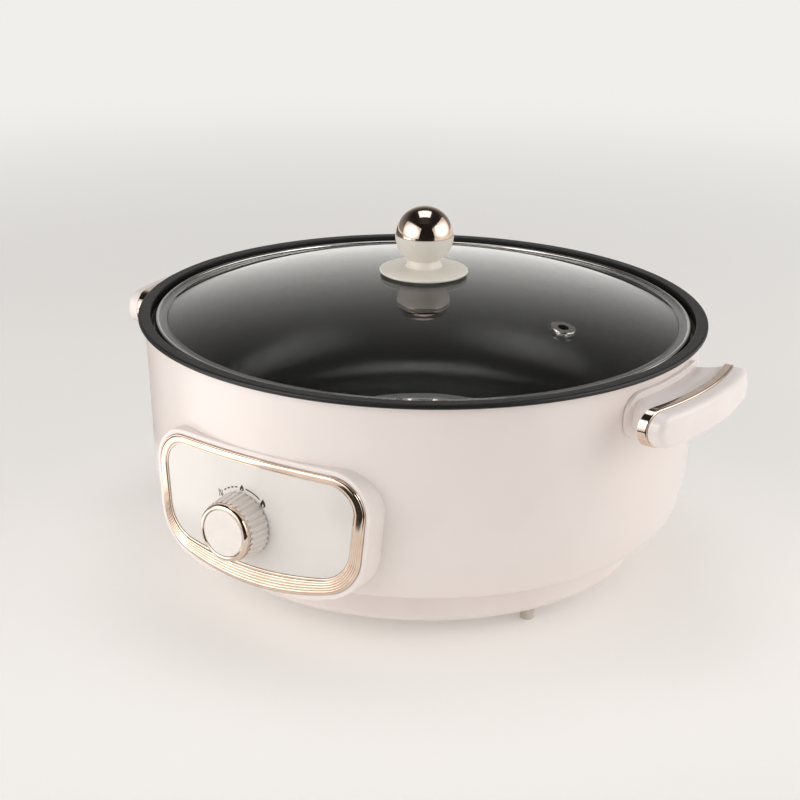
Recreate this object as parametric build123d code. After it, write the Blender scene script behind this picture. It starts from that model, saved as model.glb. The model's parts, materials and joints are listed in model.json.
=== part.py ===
from build123d import *
import os
from math import asin, atan, cos, degrees, radians, sin, sqrt, tan

# Electric hot pot with a lift-off glass lid. Millimetres, +Z up. The origin lies on the
# table, on the axis of the pan. The control panel faces -Y, the handles stand at +X and -X.

# ---- fits and clearances
SEAT = 0.3  # a piece to the seat that it rests on
SIDE = 0.2  # a fixed piece to the wall round it
RUN = 0.06  # dial shaft to its bushing, on the radius
TURN_GAP = 0.6  # turning dial to the panel face
BITE = 0.4  # screw thread to the hole that it cuts, on the radius
EASE = 1.5  # loose hole to what passes through it, on the radius

# ---- outer housing, moulded in one with the raised surround of the control panel
HOUSING_R = 166.2  # outer radius at the top edge
HOUSING_H = 116.6  # underside step to top edge
HOUSING_T = 2.5
HOUSING_DRAFT = 2.7  # degrees, wall leaning in towards the base
KNEE_H = 58.0  # height above the step where the wall begins to curve in
STEP_IN = 15.2  # top edge to the step, on the radius
STEP_LEAN = 50.0  # degrees from upright where the curve ends
LIP_T = 1.3  # thinned lip round the pan's ledge
LIP_SLACK = 1.0  # lip depth below the pan's ledge
THROAT_R = 127.0  # opening in the housing's underside

# ---- base cover and feet
FOOT_H = 10.0  # table to the underside of the cover
SKIRT_H = 24.0  # height of the cover's wall
SKIRT_IN = 17.0  # housing step edge to the cover's wall, on the radius
COVER_T = 2.5
COVER_EDGE = 5.0  # rounded lower edge of the cover
FOOT_ROUND = 1.0
FOOT_R = 9.0
FOOT_INSET = 13.0  # cover wall to a foot's axis
FOOT_ANGLE = 65.0  # degrees from the front of the pot to the front feet
FOOT_STEM_R = 3.5
FOOT_HEAD_R = 5.0
FOOT_HEAD_H = 2.5
VENT_COUNT = 20
VENT_W = 3.0
VENT_L = 22.0
VENT_RING_R = 96.0

# ---- inner pan
RIM_OVERHANG = 3.8  # rim beyond the housing's top edge
RIM_T = 3.1
LEDGE_WALL_T = 1.8
LEDGE_DROP = 8.2  # crest of the rim to the lid's ledge
LEDGE_W = 7.3
PAN_T = 3.0
PAN_DEPTH = 88.0  # crest of the rim to the floor
PAN_TAPER = 9.0  # degrees, upper wall leaning in
PAN_WALL_H = 36.0  # length of the tapered wall, measured upright
PAN_CORNER_R = 42.0
RIM_ROUND = 1.4  # outer edge of the rim
CREST_ROUND = 0.8  # inner edge of the rim
MOUTH_ROUND = 2.5  # ledge into the wall
FLOOR_RISE = 1.2  # raised middle of the floor
FLOOR_RISE_R = 74.0
RISE_RAMP = 8.0

# ---- heater and what carries it
ELEMENT_RING_R = 84.0
ELEMENT_R = 3.5
ELEMENT_SPAN = 310.0  # degrees
ELEMENT_LEG = 16.0
ELBOW_R = 7.0
PAD_H = 4.5  # cast pad under the pan that the element is pressed into
PAD_W = 16.0
POST_COUNT = 3
POST_RING_R = 62.0
POST_BOSS_R = 7.0
POST_BOSS_H = 4.0
POST_R = 5.0
POST_NECK_R = 3.0
SHIELD_T = 0.8
SHIELD_R = 118.0
SHIELD_DROP = 21.0  # pan underside to the shield
SHIELD_RIM_H = 9.0
SHIELD_DRAW_R = 6.0
COVER_BOSS_R = 6.5
COVER_BOSS_H = 9.0
CUTOUT_R = 8.0
CUTOUT_H = 6.0
CUTOUT_EAR_L = 32.0
CUTOUT_EAR_W = 9.0
CUTOUT_EAR_T = 1.0

# ---- control panel: everything on it is bowed about one upright axis
PANEL_PROUD = 1.3  # bezel front beyond the housing's top radius, on the centre line
BOW_R = 400.0
BEZEL_DROP = 43.5  # crest of the rim to the top of the bezel
BEZEL_H = 76.9
BEZEL_W = 146.0  # at the top corners, before rounding
BEZEL_FOOT_W = 134.0  # at the bottom corners, before rounding
BEZEL_SAG = 13.3  # bow of the bottom edge
BEZEL_TOP_R = 20.0
BEZEL_FOOT_R = 27.0
FRAME_TOP = 5.0  # width of the frame along the top
FRAME_SIDE = 7.0
FRAME_FOOT_SIDE = 6.5
FRAME_BOTTOM = 12.0
WINDOW_SAG = 7.3
WINDOW_TOP_R = 15.0
WINDOW_FOOT_R = 20.0
SURROUND_W = 3.0  # moulded ledge round the bezel
SURROUND_BACK = 1.8  # ledge behind the bezel's front
SURROUND_ROUND = 0.8
BEZEL_T = 2.6
BEZEL_ROUND = 1.5
WINDOW_BEVEL = 1.2
PANEL_T = 1.2
PANEL_WALL_T = 2.5
FIN_COUNT = 5
FIN_DEPTH = 1.4  # deepest groove between fins, at the bottom
FIN_RUNOUT = 28.0  # grooves run out this far below the bezel's top
FIN_GAP = 0.035  # half width of a groove, as a part of the frame's width

# ---- dial
DIAL_X = -7.0
DIAL_UP = 35.9  # above the bottom of the bezel
DIAL_R = 18.8
DIAL_TIP_R = 17.3
SKIRT_LEN = 13.4
DIAL_WALL = 2.2
FLUTES = 32
FLUTE_R = 1.25
FLUTE_DEPTH = 0.8
DIAL_RING_R = 16.6
DIAL_RING_T = 2.8
DIAL_RING_LEN = 3.4
DIAL_RING_ROUND = 1.0
DIAL_EDGE_ROUND = 0.6
FACE_ROUND = 0.8
BORE_END = 1.0  # hub left in front of the shaft's bore
RING_SEAT = 2.0  # depth of the ring's seat in the skirt
FACE_RECESS = 0.3
SHAFT_R = 3.0
SHAFT_FLAT = 1.0
HUB_WALL = 2.4
BUSH_R = 5.0
BUSH_L = 5.4  # bushing in front of the mounting wall
NUT_AF = 14.0
NUT_T = 2.4
REGULATOR_W = 26.0
REGULATOR_D = 11.0
REGULATOR_ROUND = 2.0
TAB_W = 6.3
TAB_T = 0.8
TAB_L = 9.0

# ---- lid
LID_GAP = 2.8  # rim's inner edge to the lid band
BAND_T = 0.8
BAND_IN = 5.0  # reach of the band over the glass
BAND_ROUND = 0.56
GLASS_T = 4.0
GLASS_RISE = 25.0
EDGE_SLACK = 0.2  # glass to the band
VENT_AT = 105.0
VENT_TURN = -8.0  # degrees from +X
EYELET_R = 7.0
EYELET_HOLE_R = 3.2
EYELET_T = 0.9
EYELET_ROUND = 0.4
KNOB_FLANGE_R = 26.5
KNOB_FLANGE_T = 1.9
KNOB_LIFT = 0.6  # flange above the top of the glass
KNOB_BALL_LEAN = 35.0  # degrees below the cup's edge where the ball runs into the neck
KNOB_FOOT_R = 10.75
KNOB_NECK_R = 9.2
KNOB_FOOT_H = 4.3  # glass top to the foot of the neck, over the flange
KNOB_NECK_H = 8.8
KNOB_CUP_R = 17.5
KNOB_CUP_H = 22.8
KNOB_BALL_R = 17.0
KNOB_SHELL = 2.2
SPIGOT_H = 4.0
SPIGOT_FIT = 0.1  # spigot in the cup, on the radius
GASKET_R = 22.0
GASKET_W = 4.0
GASKET_SEAT = 0.4  # depth of its groove in the flange
KNOB_SCREW_R = 2.5
SCREW_HEAD_R = 4.8
SCREW_HEAD_H = 3.0
SCREW_HEAD_ROUND = 1.2
WASHER_R = 8.0
WASHER_T = 1.2
KNOB_THREAD_L = 12.0
GLASS_FLAT = 6.0  # flat margin of the glass

# ---- handles
HANDLE_DROP = 22.6  # crest of the rim to the middle of the grip
GRIP_H = 20.0
GRIP_L = 109.0
GRIP_GAP = 17.3  # housing to the trim band
TRIM_T = 5.0
TRIM_PROUD = 1.0
TRIM_ROUND = 0.9
CAP_T = 8.2
CAP_ROUND = 4.5
NECK_W = 75.0
NECK_H = 19.8
NECK_R = 8.0
NECK_SHY = 2.0  # neck inside the trim band's edge, where they meet
FLARE_AT = 0.5  # part of the neck's reach where the flare has begun
FLARE_PART = 0.25  # and how much of it has opened there
FLANGE_LIP = 5.5  # flange beyond the neck, sideways
FLANGE_LOW = 3.8  # and above and below
FLANGE_T = 2.0
HANDLE_WALL = 3.0
FINGER_L = 40.0
HANDLE_SCREW_Y = 27.5
SCREW_R = 1.9
SCREW_HOLE_R = 2.1
SMALL_HEAD_R = 3.6
SMALL_HEAD_H = 2.0
SMALL_SCREW_L = 12.0
SPOT_R = 5.0
SPOT_IN = 8.0  # housing's top radius to the spot faces inside, along X

# ---- power inlet
INLET_DROP = 97.0  # crest of the rim to the inlet's middle
INLET_W = 30.0
INLET_H = 20.0
INLET_WALL = 2.0
INLET_D = 22.0
INLET_FLANGE_W = 48.0
INLET_FLANGE_H = 27.0
INLET_FLANGE_T = 2.0
INLET_CORNER = 4.0
INLET_BOSS = 3.5  # moulded pad round the flange
INLET_OUT = 3.0  # housing's top radius to the pad's face
PIN_W = 4.0
PIN_T = 2.0
PIN_L = 15.0
PIN_PITCH = 7.0
PIN_DOWN = 3.0
INLET_SCREW_X = 19.0
INLET_SCREW_R = 1.5
INLET_HEAD_R = 3.2

# ---- levels and radii that follow
COVER_Z = FOOT_H
STEP_Z = COVER_Z + SKIRT_H
KNEE_Z = STEP_Z + KNEE_H
HOUSING_TOP = STEP_Z + HOUSING_H
RIM_Z = HOUSING_TOP + SEAT + RIM_T
LEDGE_Z = RIM_Z - LEDGE_DROP
FLOOR_Z = RIM_Z - PAN_DEPTH
PAN_BASE_Z = FLOOR_Z - PAN_T
STEP_R = HOUSING_R - STEP_IN
SKIRT_R = STEP_R - SKIRT_IN
LIP_R = HOUSING_R - LIP_T
LEDGE_R = LIP_R - SEAT - LEDGE_WALL_T
PAN_MOUTH_R = LEDGE_R - LEDGE_W
LID_R = LEDGE_R - LID_GAP
LIP_Z = LEDGE_Z - PAN_T - LIP_SLACK
DOME_EDGE_R = LID_R - BAND_T - EDGE_SLACK - GLASS_FLAT
DOME_R = (DOME_EDGE_R**2 + GLASS_RISE**2) / (2 * GLASS_RISE)
FACE_Y = HOUSING_R + PANEL_PROUD
BEZEL_Z = RIM_Z - BEZEL_DROP
SHIELD_Z = PAN_BASE_Z - SHIELD_DROP
BOSS_TOP = COVER_Z + COVER_T + COVER_BOSS_H
REBATE = BEZEL_T + SIDE  # bezel front to the floor of its rebate
PANEL_FACE = REBATE - SIDE - PANEL_T  # bezel front to the panel's face
DIAL_Z = BEZEL_Z - BEZEL_H + DIAL_UP
HANDLE_Z = RIM_Z - HANDLE_DROP
GRIP_R = HOUSING_R + GRIP_GAP
INLET_Z = RIM_Z - INLET_DROP
INLET_Y = HOUSING_R - INLET_OUT


def housing_r(z):
    """Outer radius of the housing's drafted wall at a height."""
    return HOUSING_R - (HOUSING_TOP - z) * tan(radians(HOUSING_DRAFT))


STANDING = (Align.CENTER, Align.CENTER, Align.MIN)
HANGING = (Align.CENTER, Align.CENTER, Align.MAX)


def spun(*edges):
    """Solid of revolution about Z of a closed outline drawn in the XZ plane."""
    return revolve(Plane.XZ * make_face([*edges]), Axis.Z)


def ring(r_in, r_out, z_low, z_high):
    """Plain ring about Z."""
    outline = Polyline((r_in, z_low), (r_out, z_low), (r_out, z_high), (r_in, z_high), close=True)
    return spun(outline)


def disc(radius, z_low, z_high):
    """Plain disc about Z."""
    return Pos(0, 0, z_low) * Cylinder(radius, z_high - z_low, align=STANDING)


def around(count, radius, start=0.0):
    """Places evenly spaced round Z."""
    return [Rot(0, 0, start + i * 360 / count) * Pos(radius, 0, 0) for i in range(count)]


# ---- housing -------------------------------------------------------------------------------
def housing_edge(inset):
    """The housing's side from knee to step, moved in by a wall thickness."""
    lean, draft = radians(STEP_LEAN), radians(HOUSING_DRAFT)
    knee = (housing_r(KNEE_Z) - inset, KNEE_Z)
    foot = (STEP_R - inset * cos(lean) + inset * (1 - sin(lean)) * tan(lean), STEP_Z + inset)
    return knee, foot, Spline(knee, foot, tangents=[(-sin(draft), -cos(draft)), (-sin(lean), -cos(lean))])


def housing_envelope(grow=0.0):
    """The housing's outer form as a solid, to cut what is fitted against it."""
    knee, foot, side = housing_edge(-grow)
    top = (HOUSING_R + grow, HOUSING_TOP)
    return spun(Polyline((0, foot[1]), (0, HOUSING_TOP), top, knee), side, Line(foot, (0, foot[1])))


def housing_shell():
    """Thin bowl with a lip for the pan above and an inward flange below."""
    knee, foot, side = housing_edge(0)
    knee_in, foot_in, side_in = housing_edge(HOUSING_T)
    lip = Polyline(
        knee,
        (HOUSING_R, HOUSING_TOP),
        (LIP_R, HOUSING_TOP),
        (LIP_R, LIP_Z),
        (housing_r(LIP_Z) - HOUSING_T, LIP_Z),
        knee_in,
    )
    flange = Polyline(foot_in, (THROAT_R, foot_in[1]), (THROAT_R, STEP_Z), foot)
    return spun(lip, side_in, flange, side)


def frame_outline(t):
    """Outline of the bezel in XZ, from its outer edge (t = 0) to its window edge (t = 1)."""
    top = BEZEL_Z - t * FRAME_TOP
    low = BEZEL_Z - BEZEL_H + t * FRAME_BOTTOM
    half_top = BEZEL_W / 2 - t * FRAME_SIDE
    half_low = BEZEL_FOOT_W / 2 - t * FRAME_FOOT_SIDE
    sag = BEZEL_SAG + t * (WINDOW_SAG - BEZEL_SAG)
    left, right = (-half_low, low + sag), (half_low, low + sag)
    sides = Polyline(left, (-half_top, top), (half_top, top), right)
    face = make_face([sides, ThreePointArc(right, (0, low), left)])
    corners = face.vertices().sort_by(Axis.Y)
    r_foot = BEZEL_FOOT_R + t * (WINDOW_FOOT_R - BEZEL_FOOT_R)
    r_top = BEZEL_TOP_R + t * (WINDOW_TOP_R - BEZEL_TOP_R)
    face = fillet(corners[:2], r_foot)
    return fillet(face.vertices().sort_by(Axis.Y)[-2:], r_top)


def bow_cylinder(depth):
    """Upright cylinder whose front is the bowed surface that far behind the bezel's front."""
    return Pos(0, BOW_R - FACE_Y, BEZEL_Z) * Cylinder(BOW_R - depth, 4 * BEZEL_H)


def bowed(outline, front, back):
    """Plate with an outline in XZ between two bowed surfaces behind the bezel's front."""
    block = extrude(Plane.XZ * outline, amount=2 * FACE_Y)
    return block & (bow_cylinder(front) - bow_cylinder(back))


def frame_widened(margin):
    """The bezel's outer outline, moved out by a margin."""
    return offset(frame_outline(0), amount=margin)


def above(z):
    """Everything in front of the pan's axis and above a height."""
    return Pos(0, -FACE_Y, z) * Box(4 * BEZEL_W, 2 * FACE_Y, 4 * BEZEL_H, align=STANDING)


def surround():
    """Raised surround of the panel, to be joined to the housing."""
    body = bowed(frame_widened(SURROUND_W), SURROUND_BACK, FACE_Y / 2)
    front = body.faces().sort_by(Axis.Y)[0]
    return fillet(front.edges(), SURROUND_ROUND) & above(STEP_Z)


def outer_housing():
    """Moulded housing with its panel surround, inlet pad and holes."""
    body = housing_shell()
    behind = bowed(frame_widened(SURROUND_W - PANEL_WALL_T), REBATE + PANEL_WALL_T, FACE_Y / 2)
    behind = behind & above(STEP_Z + PANEL_WALL_T)
    core = housing_envelope(-HOUSING_T)
    body = body + (surround() - core)
    body = body - behind
    body = body - bowed(frame_widened(SIDE), -PANEL_WALL_T, REBATE)
    pad = inlet_at() * Pos(0, 0, -INLET_D) * extrude(
        inlet_plate(INLET_BOSS), amount=INLET_D
    )
    body = body + (pad - core)
    body = body - dial_at(0) * Cylinder(BUSH_R + SIDE, 60)
    body = body - inlet_at() * Pos(0, 0, -INLET_FLANGE_T) * extrude(inlet_plate(SIDE), amount=INLET_FLANGE_T)
    body = body - inlet_at() * Box(INLET_W + 2 * SIDE, INLET_H + 2 * SIDE, 4 * INLET_D)
    for side in (-1, 1):
        body = body - inlet_at() * Pos(side * INLET_SCREW_X, 0, 0) * Cylinder(INLET_SCREW_R, 2 * INLET_D)
    for place in handle_screw_places():
        spot = place * Cylinder(SPOT_R, SPOT_IN, align=STANDING)
        body = body + (spot & housing_envelope(-HOUSING_T / 2))
    for place in handle_screw_places():
        body = body - place * Cylinder(SCREW_HOLE_R, 4 * SPOT_IN)
    return body


# ---- base ----------------------------------------------------------------------------------
def foot_places():
    """The four feet, front pair and rear pair."""
    radius = SKIRT_R - FOOT_INSET
    turns = [FOOT_ANGLE - 90, 90 - FOOT_ANGLE, 90 + FOOT_ANGLE, 270 - FOOT_ANGLE]
    return [Rot(0, 0, turn) * Pos(radius, 0, 0) for turn in turns]


def base_cover():
    """Shallow tray that closes the housing from below, with vents, bosses and foot holes."""
    tray = disc(SKIRT_R, COVER_Z, STEP_Z)
    tray = fillet(tray.edges().group_by(Axis.Z)[0], COVER_EDGE)
    hollow = disc(SKIRT_R - COVER_T, COVER_Z + COVER_T, STEP_Z)
    hollow = fillet(hollow.edges().group_by(Axis.Z)[0], COVER_EDGE - COVER_T)
    cover = tray - hollow
    boss = disc(COVER_BOSS_R, COVER_Z + COVER_T, BOSS_TOP)
    well = disc(SMALL_HEAD_R + SIDE, COVER_Z, BOSS_TOP - COVER_T)
    hole = disc(SCREW_HOLE_R, COVER_Z, BOSS_TOP)
    for place in around(POST_COUNT, POST_RING_R, 90):
        cover = cover + place * boss - place * well - place * hole
    stem = disc(FOOT_STEM_R + SIDE, COVER_Z, COVER_Z + COVER_T)
    cover = cover - [place * stem for place in foot_places()]
    slot = Pos(0, 0, COVER_Z) * extrude(SlotOverall(VENT_L, VENT_W), amount=COVER_T)
    return cover - [place * slot for place in around(VENT_COUNT, VENT_RING_R, 180 / VENT_COUNT)]


def foot_pads():
    """Rubber feet pushed into the cover, each with a stem and a barbed head."""
    pad = fillet(disc(FOOT_R, 0, COVER_Z).edges().group_by(Axis.Z)[0], FOOT_ROUND)
    stem = disc(FOOT_STEM_R, COVER_Z, COVER_Z + COVER_T + SEAT)
    low = COVER_Z + COVER_T + SEAT
    head = Pos(0, 0, low) * Cone(FOOT_HEAD_R, FOOT_STEM_R, FOOT_HEAD_H, align=STANDING)
    foot = pad + stem + head
    return [place * foot for place in foot_places()]


def base_screws():
    """Screws from below through the cover's bosses into the posts."""
    low = BOSS_TOP - COVER_T - SMALL_HEAD_H
    screw = disc(SMALL_HEAD_R, low, low + SMALL_HEAD_H) + disc(SCREW_R, low, low + SMALL_SCREW_L)
    return [place * screw for place in around(POST_COUNT, POST_RING_R, 90)]


# ---- pan and heater ------------------------------------------------------------------------
def inner_pan():
    """Cast pan: flat rim band, ledge for the lid, tapered wall, rounded corner and raised floor."""
    taper = radians(PAN_TAPER)
    wall_low_r = PAN_MOUTH_R - PAN_WALL_H * tan(taper)
    low_z = LEDGE_Z - PAN_WALL_H
    mouth, wall_low = (PAN_MOUTH_R, LEDGE_Z), (wall_low_r, low_z)
    floor_r = wall_low_r - PAN_CORNER_R
    inner = Spline(wall_low, (floor_r, FLOOR_Z), tangents=[(-sin(taper), -cos(taper)), (-1, 0)])
    wall_low_out = (wall_low_r + PAN_T, low_z)
    outer = Spline(
        (floor_r, PAN_BASE_Z), wall_low_out, tangents=[(1, 0), (sin(taper), cos(taper))]
    )
    rim_r = HOUSING_R + RIM_OVERHANG
    floor = Polyline(
        (floor_r, FLOOR_Z),
        (FLOOR_RISE_R + RISE_RAMP, FLOOR_Z),
        (FLOOR_RISE_R, FLOOR_Z + FLOOR_RISE),
        (0, FLOOR_Z + FLOOR_RISE),
        (0, PAN_BASE_Z),
        (floor_r, PAN_BASE_Z),
    )
    upper = Polyline(
        wall_low_out,
        (PAN_MOUTH_R + PAN_T, LEDGE_Z - PAN_T),
        (LEDGE_R + LEDGE_WALL_T, LEDGE_Z - PAN_T),
        (LEDGE_R + LEDGE_WALL_T, RIM_Z - RIM_T),
        (rim_r, RIM_Z - RIM_T),
        (rim_r, RIM_Z),
        (LEDGE_R, RIM_Z),
        (LEDGE_R, LEDGE_Z),
        mouth,
        wall_low,
    )
    face = make_face([inner, floor, outer, upper])
    rim = [v for v in face.vertices() if abs(v.X - rim_r) < 0.01]
    face = fillet(rim, RIM_ROUND)
    crest = [v for v in face.vertices() if abs(v.X - LEDGE_R) < 0.01 and v.Y > RIM_Z - 0.1]
    face = fillet(crest, CREST_ROUND)
    lips = [v for v in face.vertices() if abs(v.X - PAN_MOUTH_R) < 0.01 and abs(v.Y - LEDGE_Z) < 0.01]
    face = fillet(lips, MOUTH_ROUND)
    pan = revolve(Plane.XZ * face, Axis.Z)
    pad = ring(ELEMENT_RING_R - PAD_W / 2, ELEMENT_RING_R + PAD_W / 2, PAN_BASE_Z - PAD_H, PAN_BASE_Z)
    pan = pan + pad - element_ring(ELEMENT_R + SIDE, 360)
    boss = disc(POST_BOSS_R, PAN_BASE_Z - POST_BOSS_H, PAN_BASE_Z)
    for place in around(POST_COUNT, POST_RING_R, 90):
        pan = pan + place * boss
    return pan


def element_ring(radius, span):
    """Round bar bent to a ring that sits half in the pan's pad."""
    z = PAN_BASE_Z - PAD_H
    section = Pos(ELEMENT_RING_R, z, 0) * Circle(radius)
    return revolve(Plane.XZ * section, Axis.Z, span)


def heating_element():
    """Sheathed element: open ring with both ends turned down into short legs."""
    z = PAN_BASE_Z - PAD_H
    start = 90 + (360 - ELEMENT_SPAN) / 2
    body = Rot(0, 0, start) * element_ring(ELEMENT_R, ELEMENT_SPAN)
    for turn, way in ((start, -1), (start + ELEMENT_SPAN, 1)):
        end = Rot(0, 0, turn) * Pos(ELEMENT_RING_R, 0, z)
        elbow_axis = Axis((0, 0, -ELBOW_R), (1, 0, 0))
        elbow = revolve(Plane.XZ * Circle(ELEMENT_R), elbow_axis, -90 * way)
        leg = Pos(0, way * ELBOW_R, -ELBOW_R) * Cylinder(ELEMENT_R, ELEMENT_LEG, align=HANGING)
        body = body + end * elbow + end * leg
    return body


def leg_places():
    """Axes of the element's two legs."""
    start = 90 + (360 - ELEMENT_SPAN) / 2
    return [
        Rot(0, 0, start) * Pos(ELEMENT_RING_R, -ELBOW_R, 0),
        Rot(0, 0, start + ELEMENT_SPAN) * Pos(ELEMENT_RING_R, ELBOW_R, 0),
    ]


def pan_posts():
    """Shouldered posts that tie the pan to the cover and carry the heat shield."""
    top, low = PAN_BASE_Z - POST_BOSS_H, BOSS_TOP
    post = disc(POST_R, low, SHIELD_Z) + disc(POST_NECK_R, SHIELD_Z, top)
    post = post - disc(SCREW_R + SIDE, low, low + SMALL_SCREW_L)
    return [place * post for place in around(POST_COUNT, POST_RING_R, 90)]


def heat_shield():
    """Pressed dish under the pan that keeps heat off the cover."""
    z = SHIELD_Z + SIDE
    dish = disc(SHIELD_R, z, z + SHIELD_RIM_H)
    dish = fillet(dish.edges().group_by(Axis.Z)[0], SHIELD_DRAW_R)
    hollow = disc(SHIELD_R - SHIELD_T, z + SHIELD_T, z + SHIELD_RIM_H)
    hollow = fillet(hollow.edges().group_by(Axis.Z)[0], SHIELD_DRAW_R - SHIELD_T)
    dish = dish - hollow
    for place in around(POST_COUNT, POST_RING_R, 90):
        dish = dish - place * disc(POST_NECK_R + SIDE, z, z + SHIELD_T)
    for place in leg_places():
        dish = dish - place * disc(ELEMENT_R + EASE, z, z + SHIELD_T)
    return dish


def thermal_cutout():
    """Disc cut-out held against the pan's middle by its ears."""
    top = PAN_BASE_Z - SEAT
    body = disc(CUTOUT_R, top - CUTOUT_H, top)
    ears = extrude(SlotOverall(CUTOUT_EAR_L, CUTOUT_EAR_W), amount=CUTOUT_EAR_T)
    ears = Pos(0, 0, top - CUTOUT_EAR_T) * ears
    tab = Pos(0, 0, top - CUTOUT_H - TAB_L) * Box(TAB_T, TAB_W, TAB_L, align=STANDING)
    return body + ears + Pos(-CUTOUT_R / 2, 0, 0) * tab + Pos(CUTOUT_R / 2, 0, 0) * tab


# ---- control panel -------------------------------------------------------------------------
def control_bezel():
    """Bowed frame, rounded outside and bevelled to the window, with fins across its lower half."""
    frame = bowed(frame_outline(0), 0, BEZEL_T)
    front = frame.faces().sort_by(Axis.Y)[0]
    frame = fillet(front.edges(), BEZEL_ROUND)
    window = bowed(frame_outline(1), -5, BEZEL_T + 5)
    frame = frame - window
    tilt = degrees(atan(FIN_DEPTH / (BEZEL_H - FIN_RUNOUT)))
    runout = Pos(0, -FACE_Y, BEZEL_Z - FIN_RUNOUT) * Rot(tilt, 0, 0)
    floor = runout * Pos(0, BOW_R, 0) * Cylinder(BOW_R, 4 * BEZEL_H)
    for i in range(1, FIN_COUNT):
        t = i / FIN_COUNT
        line = frame_outline(t - FIN_GAP) - frame_outline(t + FIN_GAP)
        groove = bowed(line, -1, BEZEL_T - 0.5) - floor
        frame = frame - groove
    return frame


def control_panel():
    """Smooth bowed plate inside the bezel, with the bushing's hole."""
    outline = offset(frame_outline(1), amount=-SIDE)
    plate = bowed(outline, PANEL_FACE, PANEL_FACE + PANEL_T)
    return plate - dial_at(0) * Cylinder(BUSH_R + SIDE, 40)


# ---- dial ----------------------------------------------------------------------------------
def dial_at(out):
    """Dial's axis, pointing out of the panel, at a distance in front of the panel's face."""
    bow = BOW_R - sqrt(BOW_R**2 - DIAL_X**2)
    return Pos(DIAL_X, -(FACE_Y - PANEL_FACE - bow + out), DIAL_Z) * Rot(90, 0, 0)


def dial_skirt():
    """Tapered knob body with flutes, hollow behind, with a hub for the shaft."""
    taper = degrees(atan((DIAL_R - DIAL_TIP_R) / SKIRT_LEN))
    body = Cone(DIAL_R, DIAL_TIP_R, SKIRT_LEN, align=STANDING)
    body = fillet(body.edges().group_by(Axis.Z)[-1], DIAL_EDGE_ROUND)
    mid_r = (DIAL_R + DIAL_TIP_R) / 2 + FLUTE_R - FLUTE_DEPTH
    flute = Pos(mid_r, 0, SKIRT_LEN / 2) * Rot(0, -taper, 0) * Cylinder(FLUTE_R, 2 * SKIRT_LEN)
    body = body - [Rot(0, 0, i * 360 / FLUTES) * flute for i in range(FLUTES)]
    depth = SKIRT_LEN - RING_SEAT - DIAL_WALL
    body = body - disc(DIAL_TIP_R - DIAL_WALL - FLUTE_DEPTH, 0, depth)
    body = body - disc(DIAL_RING_R + SIDE - DIAL_RING_T, SKIRT_LEN - RING_SEAT, SKIRT_LEN)
    body = body - ring(
        DIAL_RING_R - DIAL_RING_T - SIDE, DIAL_RING_R + SIDE, SKIRT_LEN - RING_SEAT, SKIRT_LEN
    )
    hub = disc(SHAFT_R + HUB_WALL, BUSH_L, depth)
    return dial_at(TURN_GAP) * (body + hub - shaft_bore())


def shaft_profile(radius, z_low, z_high):
    """Round bar with a flat along one side."""
    flat = Pos(radius - SHAFT_FLAT + radius, 0, 0) * Box(2 * radius, 4 * radius, 400)
    return disc(radius, z_low, z_high) - flat


def shaft_bore():
    """Blind bore of the hub that fits the shaft and its flat."""
    return shaft_profile(SHAFT_R + RUN, -1, SKIRT_LEN - RING_SEAT - BORE_END)


def dial_ring():
    """Polished ring set into the front of the dial."""
    low = SKIRT_LEN - RING_SEAT + SIDE
    high = low - SIDE + RING_SEAT + DIAL_RING_LEN
    part = ring(DIAL_RING_R - DIAL_RING_T, DIAL_RING_R, low, high)
    part = fillet(part.edges().group_by(Axis.Z)[-1], DIAL_RING_ROUND)
    return dial_at(TURN_GAP) * part


def dial_face():
    """Smooth disc that fills the ring."""
    low = SKIRT_LEN - RING_SEAT + SIDE
    high = low - SIDE + RING_SEAT + DIAL_RING_LEN - FACE_RECESS
    part = disc(DIAL_RING_R - DIAL_RING_T - SIDE, low, high)
    return dial_at(TURN_GAP) * fillet(part.edges().group_by(Axis.Z)[-1], FACE_ROUND)


def thermostat_shaft():
    """Shaft that turns in the bushing and carries the dial."""
    end = SKIRT_LEN - RING_SEAT - BORE_END - SEAT
    wall = REBATE - PANEL_FACE + PANEL_WALL_T
    back = wall + REGULATOR_D / 2 + TURN_GAP
    return dial_at(TURN_GAP) * shaft_profile(SHAFT_R, -back, end)


def thermostat_body():
    """Regulator behind the panel wall with a bushing through it and two tabs."""
    wall = REBATE - PANEL_FACE + PANEL_WALL_T
    case = Box(REGULATOR_W, REGULATOR_W, REGULATOR_D, align=HANGING)
    reach = abs(DIAL_X) + REGULATOR_W / 2
    seat = wall + BOW_R - sqrt(BOW_R**2 - reach**2) + SIDE
    case = Pos(0, 0, -seat) * fillet(case.edges().filter_by(Axis.Z), REGULATOR_ROUND)
    bush = disc(BUSH_R, -seat, BUSH_L)
    tabs = [
        Pos(side * REGULATOR_W / 4, -REGULATOR_W / 2, -seat - REGULATOR_D / 2)
        * Box(TAB_W, 2 * TAB_L, TAB_T)
        for side in (-1, 1)
    ]
    body = case + bush + tabs
    bore = disc(SHAFT_R + RUN, -wall - REGULATOR_D / 2 - SEAT - TURN_GAP, BUSH_L)
    return dial_at(0) * (body - bore)


def thermostat_nut():
    """Thin hexagon nut on the bushing, hidden under the dial."""
    nut = extrude(RegularPolygon(NUT_AF / 2, 6, major_radius=False), amount=NUT_T)
    return dial_at(0) * Pos(0, 0, SEAT) * (nut - Cylinder(BUSH_R + RUN, 20))


# ---- lid -----------------------------------------------------------------------------------
def glass_top(r):
    """Height of the glass's upper face at a radius."""
    edge_z = LEDGE_Z + SEAT + BAND_T + EDGE_SLACK + GLASS_T
    return edge_z + GLASS_RISE - DOME_R + sqrt(DOME_R**2 - r**2)


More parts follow.
